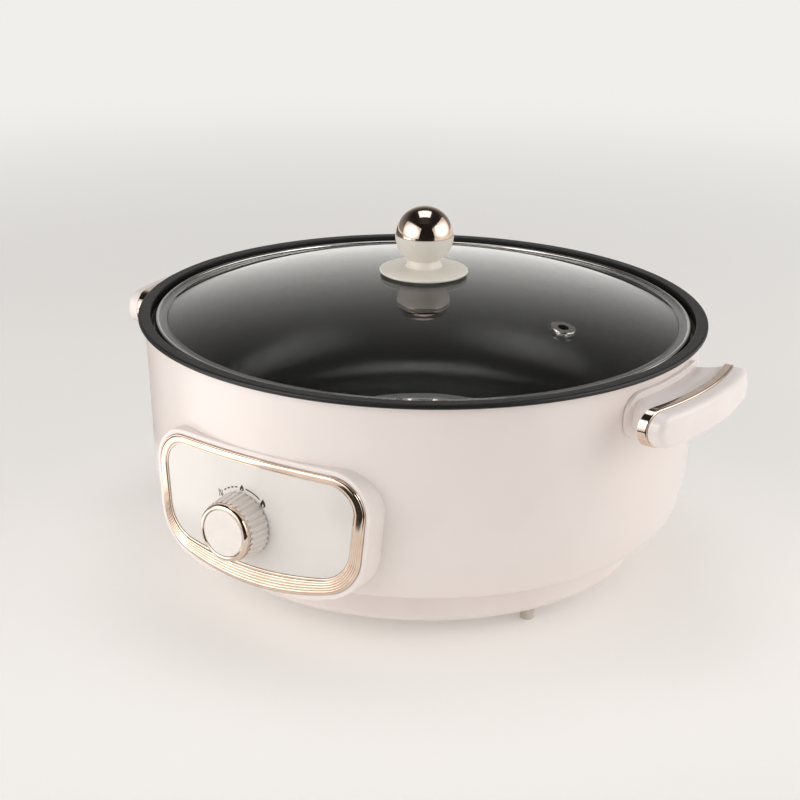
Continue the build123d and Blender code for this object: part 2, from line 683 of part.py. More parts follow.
def lid_glass():
    """Domed tempered glass with a knob hole and a vent hole."""
    hole_r = KNOB_SCREW_R + EASE
    stops = [hole_r, (hole_r + DOME_EDGE_R) / 2, DOME_EDGE_R]
    upper = ThreePointArc(*[(r, glass_top(r)) for r in stops])
    lower = ThreePointArc(*[(r, glass_top(r) - GLASS_T) for r in stops[::-1]])
    edge_r = LID_R - BAND_T - EDGE_SLACK
    top_z = glass_top(DOME_EDGE_R)
    rim = Polyline(
        (DOME_EDGE_R, top_z), (edge_r, top_z), (edge_r, top_z - GLASS_T), (DOME_EDGE_R, top_z - GLASS_T)
    )
    bore = Line((hole_r, glass_top(hole_r) - GLASS_T), (hole_r, glass_top(hole_r)))
    glass = spun(upper, rim, lower, bore)
    return glass - vent_at() * Cylinder(EYELET_HOLE_R + EYELET_T + SIDE, 10 * GLASS_T)


def vent_at():
    """Vent's axis, square to the glass, at the glass's mid thickness."""
    lean = degrees(asin(VENT_AT / DOME_R))
    return Rot(0, 0, VENT_TURN) * Pos(VENT_AT, 0, glass_top(VENT_AT) - GLASS_T / 2) * Rot(0, lean, 0)


def lid_vent_grommet():
    """Steel eyelet closed over both faces of the glass."""
    half = GLASS_T / 2 + SIDE
    barrel = ring(EYELET_HOLE_R, EYELET_HOLE_R + EYELET_T, -half - EYELET_T, half + EYELET_T)
    top = ring(EYELET_HOLE_R, EYELET_R, half, half + EYELET_T)
    top = fillet(top.edges().group_by(Axis.Z)[-1], EYELET_ROUND)
    low = ring(EYELET_HOLE_R, EYELET_R, -half - EYELET_T, -half)
    return vent_at() * (barrel + top + low)


def lid_rim_band():
    """Rolled steel channel round the edge of the glass."""
    low = LEDGE_Z + SEAT
    high = low + 2 * BAND_T + 2 * EDGE_SLACK + GLASS_T
    outer = ring(LID_R - BAND_IN, LID_R, low, high)
    rounded = [e for e in outer.edges().filter_by(GeomType.CIRCLE) if e.radius > LID_R - 0.01]
    outer = fillet(rounded, BAND_ROUND)
    return outer - ring(LID_R - BAND_IN - 1, LID_R - BAND_T, low + BAND_T, high - BAND_T)


def knob_base_z():
    """Underside of the knob's flange, clear of the domed glass under its middle."""
    return glass_top(0) + KNOB_LIFT


def lid_knob_base():
    """Moulded flange, waisted neck and cup."""
    z = knob_base_z()
    flange = (KNOB_FLANGE_R, z)
    edge = (KNOB_FLANGE_R, z + KNOB_FLANGE_T)
    foot = (KNOB_FOOT_R, z + KNOB_FOOT_H)
    neck = (KNOB_NECK_R, z + KNOB_NECK_H)
    cup = (KNOB_CUP_R, z + KNOB_CUP_H)
    lean = radians(KNOB_BALL_LEAN)
    ball = (KNOB_CUP_R * cos(lean), z + KNOB_CUP_H - KNOB_CUP_R * sin(lean))
    side = Spline(edge, foot, neck, ball, cup, tangents=[(-1, 0.06), (0, 1)])
    mouth = KNOB_BALL_R - KNOB_SHELL + SPIGOT_FIT
    inside = Polyline(
        cup,
        (mouth, z + KNOB_CUP_H),
        (mouth, z + KNOB_CUP_H - SPIGOT_H - SEAT),
        (0, z + KNOB_CUP_H - SPIGOT_H - SEAT),
        (0, z),
        flange,
        edge,
    )
    body = spun(side, inside)
    body = body - disc(KNOB_SCREW_R + SIDE / 2 - BITE, z - 1, z + KNOB_THREAD_L)
    return body - ring(GASKET_R - GASKET_W - SIDE, GASKET_R + SIDE, z - 1, z + GASKET_SEAT)


def lid_knob_cap():
    """Polished hollow dome with a spigot that sits in the cup."""
    z = knob_base_z() + KNOB_CUP_H + SIDE
    inner_r = KNOB_BALL_R - KNOB_SHELL
    half = sqrt(0.5)
    top = ThreePointArc(
        (KNOB_BALL_R, z), (KNOB_BALL_R * half, z + KNOB_BALL_R * half), (0, z + KNOB_BALL_R)
    )
    spigot_r = inner_r
    bore_r = spigot_r - KNOB_SHELL
    under = ThreePointArc((0, z + bore_r), (bore_r * half, z + bore_r * half), (bore_r, z))
    low = z - SPIGOT_H
    skirt = Polyline((bore_r, z), (bore_r, low), (spigot_r, low), (spigot_r, z), (KNOB_BALL_R, z))
    return spun(top, Line((0, z + KNOB_BALL_R), (0, z + bore_r)), under, skirt)


def lid_knob_gasket():
    """Soft ring between the knob's flange and the glass."""
    low = glass_top(GASKET_R - GASKET_W) + SIDE / 2
    return ring(GASKET_R - GASKET_W, GASKET_R, low, knob_base_z() + GASKET_SEAT - SIDE / 2)


def lid_knob_washer():
    """Flat washer under the glass."""
    top = glass_top(0) - GLASS_T - SEAT
    return ring(KNOB_SCREW_R + SIDE, WASHER_R, top - WASHER_T, top)


def lid_knob_screw():
    """Pan-head screw from below, through washer and glass, into the knob."""
    seat = glass_top(0) - GLASS_T - SEAT - WASHER_T - SIDE / 2
    head = disc(SCREW_HEAD_R, seat - SCREW_HEAD_H, seat)
    head = fillet(head.edges().group_by(Axis.Z)[0], SCREW_HEAD_ROUND)
    plain = disc(KNOB_SCREW_R, seat, knob_base_z() - SIDE)
    thread = disc(KNOB_SCREW_R - BITE, seat, knob_base_z() + KNOB_THREAD_L - SEAT)
    return head + plain + thread


# ---- handles -------------------------------------------------------------------------------
def grip_block(margin, r_in, r_out):
    """Rounded bar, as long as the grip, bent round the pot between two radii."""
    outline = SlotOverall(GRIP_L + 2 * margin, GRIP_H + 2 * margin)
    block = Plane.YZ * extrude(outline, amount=2 * r_out)
    block = Pos(0, 0, HANDLE_Z) * block
    tube = Pos(0, 0, HANDLE_Z) * (Cylinder(r_out, 4 * GRIP_H) - Cylinder(r_in, 4 * GRIP_H))
    return block & tube


def handle_section(x, width, height):
    """Rounded section of the handle's neck, square to X."""
    plane = Plane(origin=(x, 0, HANDLE_Z), x_dir=(0, 1, 0), z_dir=(1, 0, 0))
    return plane * RectangleRounded(width, height, NECK_R)


def handle_bracket():
    """Base flange on the housing and hollow neck that carries the grip."""
    skin = housing_envelope(SEAT + FLANGE_T) - housing_envelope(SEAT)
    pad = RectangleRounded(NECK_W + 2 * FLANGE_LIP, NECK_H + 2 * FLANGE_LOW, NECK_R + FLANGE_LOW)
    flange = skin & (Pos(0, 0, HANDLE_Z) * (Plane.YZ * extrude(pad, amount=2 * HOUSING_R)))
    root_x = HOUSING_R * cos(asin(NECK_W / 2 / HOUSING_R)) - FLANGE_T
    tip_x = GRIP_R * cos(asin(GRIP_L / 2 / GRIP_R)) + 1
    flare_x = root_x + (tip_x - root_x) * FLARE_AT
    flare_w = NECK_W + (GRIP_L - 2 * NECK_SHY - NECK_W) * FLARE_PART
    root = handle_section(root_x, NECK_W, NECK_H)
    flare = handle_section(flare_x, flare_w, NECK_H)
    tip = handle_section(tip_x, GRIP_L - 2 * NECK_SHY, GRIP_H - NECK_SHY)
    neck = loft([root, flare, tip])
    neck = neck + extrude(tip, amount=GRIP_R - tip_x + 1)
    neck = neck - housing_envelope(SEAT)
    neck = neck & Cylinder(GRIP_R - SIDE, 8 * RIM_Z)
    pocket = RectangleRounded(GRIP_GAP - 2 * HANDLE_WALL, FINGER_L, HANDLE_WALL)
    pocket = extrude(pocket, amount=GRIP_H + NECK_H / 2 - HANDLE_WALL)
    pocket = Pos(HOUSING_R + GRIP_GAP / 2, 0, HANDLE_Z - GRIP_H) * pocket
    body = flange + neck - pocket
    for y in (-HANDLE_SCREW_Y, HANDLE_SCREW_Y):
        pilot = Pos(0, y, HANDLE_Z) * Rot(0, 90, 0) * disc(SCREW_R + SIDE / 2, 0, HOUSING_R + GRIP_GAP / 2)
        body = body - pilot
    return body


def handle_trim():
    """Polished band between the bracket and the cap."""
    band = grip_block(TRIM_PROUD, GRIP_R, GRIP_R + TRIM_T)
    return fillet(band.faces().sort_by(Axis.X)[-1].edges(), TRIM_ROUND)


def handle_cap():
    """Rounded outer half of the grip."""
    inner = GRIP_R + TRIM_T + SIDE
    cap = grip_block(0, inner, inner + CAP_T)
    outer = cap.faces().sort_by(Axis.X)[-1]
    return fillet(outer.edges(), CAP_ROUND)


def handle_screw_places():
    """Seats of the four handle screws, on the spot faces inside the housing, pointing out."""
    x = HOUSING_R - SPOT_IN
    out = [Pos(x, y, HANDLE_Z) * Rot(0, 90, 0) for y in (-HANDLE_SCREW_Y, HANDLE_SCREW_Y)]
    return out + [Rot(0, 0, 180) * place for place in out]


def handle_screws():
    """Pan-head screws from inside the housing into the handles."""
    screw = disc(SMALL_HEAD_R, -SMALL_HEAD_H, 0) + disc(SCREW_R, -SMALL_HEAD_H, SMALL_SCREW_L)
    return [place * screw for place in handle_screw_places()]


# ---- power inlet ---------------------------------------------------------------------------
def inlet_at():
    """Middle of the inlet pad's outer face, pointing to the rear."""
    return Pos(0, INLET_Y, INLET_Z) * Rot(-90, 0, 0)


def inlet_plate(margin):
    """Outline of the inlet's flange, moved out by a margin."""
    wide, high = INLET_FLANGE_W + 2 * margin, INLET_FLANGE_H + 2 * margin
    return RectangleRounded(wide, high, INLET_CORNER + margin)


def power_inlet():
    """Appliance socket: flange, walled recess and floor that holds the pins."""
    flange = extrude(inlet_plate(0), amount=INLET_FLANGE_T - SIDE)
    flange = Pos(0, 0, SIDE - INLET_FLANGE_T) * flange
    body = fillet(Box(INLET_W, INLET_H, INLET_D, align=HANGING).edges().filter_by(Axis.Z), INLET_WALL)
    mouth = RectangleRounded(INLET_W - 2 * INLET_WALL, INLET_H - 2 * INLET_WALL, INLET_WALL)
    recess = extrude(mouth, amount=-(INLET_D - 2 * INLET_WALL))
    body = flange + body - recess
    for x in (-INLET_SCREW_X, INLET_SCREW_X):
        body = body - Pos(x, 0, 0) * Cylinder(SCREW_HOLE_R, 4 * INLET_FLANGE_T)
    for x in (-PIN_PITCH, 0, PIN_PITCH):
        body = body - Pos(x, PIN_DOWN, -INLET_D) * Box(PIN_W + SIDE, PIN_T + SIDE, 4 * INLET_WALL + 2)
    return inlet_at() * body


def inlet_pins():
    """Three flat pins through the socket's floor."""
    long = PIN_L + 2 * INLET_WALL + TAB_L
    pin = Pos(0, 0, -INLET_D - TAB_L) * Box(PIN_W, PIN_T, long, align=STANDING)
    return [inlet_at() * Pos(x, PIN_DOWN, 0) * pin for x in (-PIN_PITCH, 0, PIN_PITCH)]


def inlet_screws():
    """Two screws that hold the inlet's flange."""
    screw = disc(INLET_HEAD_R, SIDE / 2, SMALL_HEAD_H) + disc(INLET_SCREW_R - SIDE, -SMALL_SCREW_L / 2, SIDE / 2)
    return [inlet_at() * Pos(x, 0, 0) * screw for x in (-INLET_SCREW_X, INLET_SCREW_X)]


# ---- all pieces ----------------------------------------------------------------------------
def main():
    os.makedirs("parts", exist_ok=True)
    bracket, trim, cap = handle_bracket(), handle_trim(), handle_cap()
    half_turn = Rot(0, 0, 180)
    pieces = {
        "outer_housing": outer_housing(),
        "base_cover": base_cover(),
        "foot_pads": foot_pads(),
        "base_screws": base_screws(),
        "inner_pan": inner_pan(),
        "heating_element": heating_element(),
        "pan_posts": pan_posts(),
        "heat_shield": heat_shield(),
        "thermal_cutout": thermal_cutout(),
        "control_bezel": control_bezel(),
        "control_panel": control_panel(),
        "thermostat_body": thermostat_body(),
        "thermostat_nut": thermostat_nut(),
        "thermostat_shaft": thermostat_shaft(),
        "dial_skirt": dial_skirt(),
        "dial_ring": dial_ring(),
        "dial_face": dial_face(),
        "handle_right_bracket": bracket,
        "handle_right_trim": trim,
        "handle_right_cap": cap,
        "handle_left_bracket": half_turn * bracket,
        "handle_left_trim": half_turn * trim,
        "handle_left_cap": half_turn * cap,
        "handle_screws": handle_screws(),
        "power_inlet": power_inlet(),
        "inlet_pins": inlet_pins(),
        "inlet_screws": inlet_screws(),
        "lid_glass": lid_glass(),
        "lid_rim_band": lid_rim_band(),
        "lid_vent_grommet": lid_vent_grommet(),
        "lid_knob_base": lid_knob_base(),
        "lid_knob_cap": lid_knob_cap(),
        "lid_knob_gasket": lid_knob_gasket(),
        "lid_knob_washer": lid_knob_washer(),
        "lid_knob_screw": lid_knob_screw(),
    }
    for name, piece in pieces.items():
        shape = Compound(children=[*piece]) if isinstance(piece, list) else piece
        export_step(shape, f"parts/{name}.step")
        print(name, len(shape.solids()), round(shape.volume))


main()
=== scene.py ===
# %% [markdown]
# # Electric hot pot with a glass lid
# The pot arrives as a finished set of solids from CAD. This lesson dresses it: it sets up the
# camera and a small product studio, gives every piece the finish of its real material, makes
# five pieces finer than their solids are, and prints the heat marks. Everything is in metres,
# in the frame of the CAD model, so a piece goes exactly where the drawing says.

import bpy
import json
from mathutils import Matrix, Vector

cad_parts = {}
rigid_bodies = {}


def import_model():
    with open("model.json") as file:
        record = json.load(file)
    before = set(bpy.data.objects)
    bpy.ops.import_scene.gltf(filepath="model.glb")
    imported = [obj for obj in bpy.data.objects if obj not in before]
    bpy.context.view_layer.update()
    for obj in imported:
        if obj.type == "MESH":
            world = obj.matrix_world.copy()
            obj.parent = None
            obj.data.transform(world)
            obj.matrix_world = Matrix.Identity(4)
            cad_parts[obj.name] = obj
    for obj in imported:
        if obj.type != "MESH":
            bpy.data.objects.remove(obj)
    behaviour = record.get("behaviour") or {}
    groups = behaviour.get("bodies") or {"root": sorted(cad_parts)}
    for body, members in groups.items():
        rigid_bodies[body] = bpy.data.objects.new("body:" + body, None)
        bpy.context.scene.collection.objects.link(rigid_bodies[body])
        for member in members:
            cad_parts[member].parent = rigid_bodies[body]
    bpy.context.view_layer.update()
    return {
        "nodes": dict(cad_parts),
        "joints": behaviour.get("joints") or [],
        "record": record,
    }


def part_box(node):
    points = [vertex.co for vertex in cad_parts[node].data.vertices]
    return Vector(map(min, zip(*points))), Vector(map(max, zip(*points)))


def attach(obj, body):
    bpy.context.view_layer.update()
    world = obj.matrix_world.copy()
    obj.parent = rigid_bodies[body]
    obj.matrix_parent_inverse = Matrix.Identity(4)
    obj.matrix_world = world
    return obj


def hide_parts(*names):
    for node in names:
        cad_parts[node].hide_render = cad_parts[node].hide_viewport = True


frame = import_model()

# %% [markdown]
# ## Modules and short names
# A piece is looked up by its node's name, and a size that a maker would give in millimetres is
# multiplied by MM. The pieces come in selected, and an operator acts on all that is selected,
# so everything is deselected first.

# %% Modules and short names
import json
import math

import bpy
from mathutils import Matrix, Vector

nodes = frame["nodes"]
MM = 0.001
for shown in bpy.data.objects:
    shown.select_set(False)
print(len(nodes), "pieces from CAD")

# %% [markdown]
# ## Camera
# The camera stands a little over a metre away, to the right of the front, and looks down by
# about twenty degrees. A long lens keeps the round body from looking stretched. Its place
# comes first, since every later choice of light and finish is judged through it.

# %% Camera
VIEW_TURN, VIEW_DOWN, VIEW_ROLL = (math.radians(a) for a in (33.977, 20.065, 0.92))
CAMERA_PLACE = (0.60354, -0.91880, 0.49597)
LENS_PIXELS, FRAME_PIXELS, SENSOR = 1912.3, 800, 36.0

forward = Vector((-math.sin(VIEW_TURN) * math.cos(VIEW_DOWN),
                  math.cos(VIEW_TURN) * math.cos(VIEW_DOWN), -math.sin(VIEW_DOWN)))
level = Vector((math.cos(VIEW_TURN), math.sin(VIEW_TURN), 0))
upright = level.cross(forward)
right = level * math.cos(VIEW_ROLL) + upright * math.sin(VIEW_ROLL)
up = upright * math.cos(VIEW_ROLL) - level * math.sin(VIEW_ROLL)

camera = bpy.data.objects.new("camera", bpy.data.cameras.new("camera"))
bpy.context.scene.collection.objects.link(camera)
camera.data.sensor_width = SENSOR
camera.data.lens = LENS_PIXELS / FRAME_PIXELS * SENSOR
camera.data.clip_start = 0.05
camera.data.clip_end = 60
camera.matrix_world = Matrix((right, up, -forward)).transposed().to_4x4()
camera.location = CAMERA_PLACE
bpy.context.scene.camera = camera
bpy.context.scene.view_settings.view_transform = "Standard"
print("lens", round(camera.data.lens, 1), "mm")

# %% [markdown]
# ## Helpers for materials
# A colour is written as a maker would quote it, as an sRGB hex value, and turned into linear
# light once. Shader nodes are added by one small function that also sets and links them.

# %% Colour and node helpers
def linear(hex_colour):
    """An sRGB hex value as the linear colour that the shader takes."""
    levels = [int(hex_colour[i:i + 2], 16) / 255 for i in (1, 3, 5)]
    light = [s / 12.92 if s <= 0.04045 else ((s + 0.055) / 1.055) ** 2.4 for s in levels]
    return (*light, 1.0)


def add(tree, kind, values=(), links=(), **properties):
    """Adds one node, sets its properties and input values, and links its inputs."""
    node = tree.nodes.new(kind)
    for name, value in properties.items():
        setattr(node, name, value)
    for socket, value in dict(values).items():
        node.inputs[socket].default_value = value
    for socket, source in dict(links).items():
        tree.links.new(source, node.inputs[socket])
    return node


def per_mm(size):
    """Texture scale whose pattern is about this many millimetres across."""
    return 1 / (size * MM)


def new_finish(name, colour, roughness, **shader_values):
    """A material with one Principled shader, returned with its tree, shader and coordinates."""
    finish = bpy.data.materials.new(name)
    finish.use_nodes = True
    tree = finish.node_tree
    shader = tree.nodes["Principled BSDF"]
    shader.inputs["Base Color"].default_value = linear(colour)
    shader.inputs["Roughness"].default_value = roughness
    for socket, value in shader_values.items():
        shader.inputs[socket.replace("_", " ")].default_value = value
    place = add(tree, "ShaderNodeTexCoord").outputs["Object"]
    return finish, tree, shader, place


# %% [markdown]
# ## Layers that many finishes share
# Real surfaces are never one flat colour. A moulded part drifts slightly in tone, its gloss
# varies where it cooled or was handled, and its skin has a faint texture. Three short
# functions add those layers at a size given in millimetres, and a fourth makes a whole finish.
# A finish starts from one plain colour and one roughness, and its layers then take their place
# with values close to them. The gloss of a surface stays wholly above or wholly
# below a roughness of about 0.27, because a range that crosses it leaves hard-edged patches in
# a denoised render.

# %% Tone, gloss and skin
def noise(tree, place, size, detail):
    """Noise whose lumps are about this many millimetres across."""
    return add(tree, "ShaderNodeTexNoise", {"Scale": per_mm(size), "Detail": detail},
               {"Vector": place})


def tone(tree, shader, place, low, high, size):
    """Lets the colour drift between two close tones."""
    grain = noise(tree, place, size, 2.0)
    mix = add(tree, "ShaderNodeMix", {6: linear(low), 7: linear(high)}, data_type="RGBA")
    span = add(tree, "ShaderNodeMapRange", {"From Min": 0.35, "From Max": 0.65},
               {"Value": grain.outputs["Fac"]})
    tree.links.new(span.outputs["Result"], mix.inputs["Factor"])
    tree.links.new(mix.outputs[2], shader.inputs["Base Color"])


def gloss(tree, shader, place, low, high, size):
    """Lets the roughness wander between two values."""
    grain = noise(tree, place, size, 3.0)
    span = add(tree, "ShaderNodeMapRange",
               {"From Min": 0.3, "From Max": 0.7, "To Min": low, "To Max": high},
               {"Value": grain.outputs["Fac"]})
    tree.links.new(span.outputs["Result"], shader.inputs["Roughness"])
    return span


def skin(tree, shader, place, size, height):
    """A fine surface texture, its size and height in millimetres."""
    grain = noise(tree, place, size, 2.0)
    bump = add(tree, "ShaderNodeBump", {"Strength": 1.0, "Distance": height * MM},
               {"Height": grain.outputs["Fac"]})
    tree.links.new(bump.outputs["Normal"], shader.inputs["Normal"])


def layered(name, colour, roughness, tones, glosses, texture, **shader_values):
    """A finish with all three layers: two tones, two roughnesses and a texture, with sizes."""
    finish, tree, shader, place = new_finish(name, colour, roughness, **shader_values)
    tone(tree, shader, place, *tones)
    gloss(tree, shader, place, *glosses)
    skin(tree, shader, place, *texture)
    return finish


# %% [markdown]
# ## Floor
# The pot stands on a sheet of pale backdrop paper. Near the pot it is lit paper, which keeps
# the shadow. Further out it fades into a plain glowing tone, so that no horizon shows. The
# paper also gives back a little light of its own, as a real sweep lit from all round does.

# %% Floor
BACKDROP = "#F1EFEC"
FLOOR_RADIUS, FADE_STARTS, FADE_ENDS, FLOOR_BOUNCE = 9, 0.45, 1.5, 0.2


def to_stage(obj, camera_sees=True):
    """Chooses whether the camera sees a studio piece."""
    obj.visible_camera = camera_sees


bpy.ops.mesh.primitive_circle_add(vertices=96, radius=FLOOR_RADIUS, fill_type="NGON",
                                  location=(0, 0, 0))
floor = bpy.context.object
floor.name = "studio_floor"
paper, tree, shader, place = new_finish("backdrop paper, matt", "#EDEBE8", 0.9)
radius = add(tree, "ShaderNodeVectorMath", links={0: place}, operation="LENGTH")
far = add(tree, "ShaderNodeMapRange", {"From Min": FADE_STARTS, "From Max": FADE_ENDS},
          {"Value": radius.outputs["Value"]}, interpolation_type="SMOOTHSTEP")
glow = add(tree, "ShaderNodeEmission", {"Color": linear(BACKDROP), "Strength": 1.0})
bounce = add(tree, "ShaderNodeEmission", {"Color": linear(BACKDROP), "Strength": FLOOR_BOUNCE})
lit = add(tree, "ShaderNodeAddShader",
          links={0: shader.outputs["BSDF"], 1: bounce.outputs["Emission"]})
blend = add(tree, "ShaderNodeMixShader",
            links={0: far.outputs["Result"], 1: lit.outputs[0], 2: glow.outputs["Emission"]})
tree.links.new(blend.outputs["Shader"], tree.nodes["Material Output"].inputs["Surface"])
floor.data.materials.append(paper)
to_stage(floor)
print("floor", 2 * FLOOR_RADIUS, "m across")

# %% [markdown]
# ## Room
# The room lights the pot softly from all sides, and the camera sees it as the plain backdrop.
# Polished metal and glass see a third version: pale at eye level, darker overhead and to both
# sides, as a backdrop with a dark studio round it would be. That fade is what gives the glass
# lid its bright far edge and its dark middle. The world's Light Path node picks between them.

# %% Room
ROOM_LIGHT, OVERHEAD_TONE, SIDES_TONE = 0.34, 0.06, 0.35
OVERHEAD_FULL, SIDES_BEGIN, SIDES_FULL = 0.77, 0.05, 0.5

world = bpy.data.worlds.new("studio")
bpy.context.scene.world = world
world.use_nodes = True
tree = world.node_tree
room = tree.nodes["Background"]
room.inputs["Color"].default_value = linear("#F4F1F0")
room.inputs["Strength"].default_value = ROOM_LIGHT
sweep = add(tree, "ShaderNodeBackground", {"Color": linear(BACKDROP), "Strength": 1.0})
look = add(tree, "ShaderNodeTexCoord").outputs["Generated"]
height = add(tree, "ShaderNodeSeparateXYZ", links={0: look})
climb = add(tree, "ShaderNodeMapRange",
            {"From Min": 0.0, "From Max": OVERHEAD_FULL,
             "To Min": 1.0, "To Max": OVERHEAD_TONE},
            {"Value": height.outputs["Z"]}, interpolation_type="SMOOTHSTEP")
sideways = add(tree, "ShaderNodeVectorMath", {1: tuple(level)}, {0: look},
               operation="DOT_PRODUCT")
off_middle = add(tree, "ShaderNodeMath", links={0: sideways.outputs["Value"]},
                 operation="ABSOLUTE")
wings = add(tree, "ShaderNodeMapRange",
            {"From Min": SIDES_BEGIN, "From Max": SIDES_FULL,
             "To Min": 1.0, "To Max": SIDES_TONE},
            {"Value": off_middle.outputs[0]}, interpolation_type="SMOOTHSTEP")
shade = add(tree, "ShaderNodeMath",
            links={0: climb.outputs["Result"], 1: wings.outputs["Result"]},
            operation="MULTIPLY")
dimming = add(tree, "ShaderNodeBackground", {"Color": linear(BACKDROP)},
              {"Strength": shade.outputs[0]})
ray = add(tree, "ShaderNodeLightPath")
either = add(tree, "ShaderNodeMath",
             links={0: ray.outputs["Is Glossy Ray"], 1: ray.outputs["Is Transmission Ray"]},
             operation="MAXIMUM")
mirrored = add(tree, "ShaderNodeMixShader",
               links={0: either.outputs[0], 1: room.outputs[0], 2: dimming.outputs[0]})
pick = add(tree, "ShaderNodeMixShader",
           links={0: ray.outputs["Is Camera Ray"], 1: mirrored.outputs[0], 2: sweep.outputs[0]})
tree.links.new(pick.outputs[0], tree.nodes["World Output"].inputs["Surface"])
print("room light", ROOM_LIGHT)


# %% [markdown]
# ## Soft panels
# Small appliances are usually lit by a large soft panel on each side and one above. Each panel
# here is a card that glows most at its middle and fades to its edges, so a highlight on the
# plated ball has a soft border. The cards light the pot and show in reflections, and the
# camera never sees them. Their backs are dark.

# %% Soft panels
PANEL_AIM = Vector((0, 0, 0.12))
FADE_REACH = 1.15
WARM_WHITE = "#FFFDFA"


def around_camera(turn, distance, height):
    """A point in the room, turned from the camera's side of the pot."""
    angle = VIEW_TURN + math.radians(turn)
    return Vector((math.sin(angle) * distance, -math.cos(angle) * distance, height))


def soft_panel(name, spot, wide, high, strength, colour, fade):
    """A card facing the pot, glowing most at its middle."""
    bpy.ops.mesh.primitive_plane_add(size=1, location=(0, 0, 0))
    card = bpy.context.object
    card.name = name
    card.data.transform(Matrix.Diagonal((wide, high, 1, 1)))
    facing = (PANEL_AIM - spot).to_track_quat("Z", "Y").to_matrix().to_4x4()
    card.matrix_world = Matrix.Translation(spot) @ facing
    glowing = bpy.data.materials.new(name)
    glowing.use_nodes = True
    tree = glowing.node_tree
    tree.nodes.remove(tree.nodes["Principled BSDF"])
    place = add(tree, "ShaderNodeTexCoord").outputs["Object"]
    across = add(tree, "ShaderNodeMapping", {"Scale": (2 / wide, 2 / high, 1)}, {"Vector": place})
    reach = add(tree, "ShaderNodeVectorMath", links={0: across.outputs["Vector"]},
                operation="LENGTH")
    falls = add(tree, "ShaderNodeMapRange",
                {"From Min": 0.0, "From Max": FADE_REACH,
                 "To Min": strength, "To Max": strength * (1 - fade)},
                {"Value": reach.outputs["Value"]}, interpolation_type="SMOOTHSTEP")
    lamp = add(tree, "ShaderNodeEmission", {"Color": linear(colour)},
               {"Strength": falls.outputs["Result"]})
    back = add(tree, "ShaderNodeNewGeometry")
    dark = add(tree, "ShaderNodeEmission", {"Color": linear("#000000"), "Strength": 0.0})
    faces = add(tree, "ShaderNodeMixShader",
                links={0: back.outputs["Backfacing"], 1: lamp.outputs[0], 2: dark.outputs[0]})
    tree.links.new(faces.outputs[0], tree.nodes["Material Output"].inputs["Surface"])
    card.data.materials.append(glowing)
    card.visible_shadow = False
    to_stage(card, camera_sees=False)


soft_panel("left_soft_panel", around_camera(turn=-60, distance=1.15, height=0.50),
           wide=1.9, high=1.2, strength=3.3, colour=WARM_WHITE, fade=0.75)
soft_panel("right_soft_panel", around_camera(turn=82, distance=1.15, height=0.50),
           wide=2.2, high=1.2, strength=2.8, colour=WARM_WHITE, fade=0.75)
soft_panel("top_soft_panel", around_camera(turn=180, distance=0.24, height=1.28),
           wide=0.7, high=0.72, strength=3.2, colour="#FFFFFF", fade=0.6)
print("three soft panels")


# %% [markdown]
# ## Cards for reflections
# The look of plated parts is shaped with cards that only reflections show. A dark card behind
# the camera and a dark mat before the pot give the plated ball and frame their black accents.
# Two small cards, brighter than the side panels behind them, give the two soft lights on the
# floor of the black pan. The grey mat and the bright strip are there for what the left sides
# of the plated parts reflect. The light that falls on the pot stays as the panels make it.

# %% Cards for reflections
BLACK_FELT, GREY_FELT = "#1E1B19", "#8C8078"
MAT_HEIGHT, MAT_STEPS = 0.002, 12


def reflected_card(name, corners, colour, glow=0.0):
    """A flat card, dark or glowing, that only reflections show."""
    mesh = bpy.data.meshes.new(name)
    mesh.from_pydata(corners, [], [tuple(range(len(corners)))])
    card = bpy.data.objects.new(name, mesh)
    bpy.context.scene.collection.objects.link(card)
    felt, _, shader, _ = new_finish(name, colour, 1.0, Emission_Strength=glow)
    shader.inputs["Emission Color"].default_value = linear(colour)
    mesh.materials.append(felt)
    card.visible_diffuse = card.visible_transmission = card.visible_shadow = False
    to_stage(card, camera_sees=False)


def upright_card(name, turns, distance, heights, colour, glow=0.0):
    """A card that stands between two turns from the camera, at this distance from the pot."""
    first, last = turns
    low, high = heights
    corners = ((first, low), (last, low), (last, high), (first, high))
    reflected_card(name, [around_camera(turn, distance, z) for turn, z in corners], colour, glow)


def floor_mat(name, turns, reach, colour, glow=0.0):
    """A mat on the floor, a sector of a ring round the pot."""
    first, last = turns
    near, far_out = reach
    fan = [first + (last - first) * step / MAT_STEPS for step in range(MAT_STEPS + 1)]
    inner = [around_camera(turn, near, MAT_HEIGHT) for turn in fan]
    outer = [around_camera(turn, far_out, MAT_HEIGHT) for turn in reversed(fan)]
    reflected_card(name, inner + outer, colour, glow)


upright_card("dark_behind_camera", (-40, 40), distance=2.2, heights=(0.02, 2.6),
             colour=BLACK_FELT)
for name, turns in (("left_hot_middle", (-63, -43)), ("right_hot_middle", (52, 73))):
    upright_card(name, turns, distance=1.0, heights=(0.54, 0.88), colour=WARM_WHITE, glow=6.5)
floor_mat("mat_in_front", (-38, 40), reach=(0.34, 2.2), colour=BLACK_FELT)
floor_mat("mat_at_left", (-160, -96), reach=(0.27, 2.2), colour=GREY_FELT)
floor_mat("bright_strip_at_left", (-90, -56), reach=(0.3, 1.1), colour=WARM_WHITE, glow=1.2)
print("three upright cards and three mats")

# %% [markdown]
# ## Moulded cream plastic
# The housing and handles are ABS in a warm cream, injection-moulded in polished tools, which
# gives them a smooth satin gloss with a hint of orange peel. The base is polypropylene from a
# matt tool. Each tone drifts by less than the eye notices until light rakes across it.

# %% Cream plastics
housing_cream = layered(
    "moulded ABS, polished cream", "#F2EAE5", 0.3,
    tones=("#F1E7E3", "#F4EBE8", 60), glosses=(0.29, 0.36, 25), texture=(2.2, 0.004),
    IOR=1.5, Coat_Weight=0.25, Coat_Roughness=0.12)

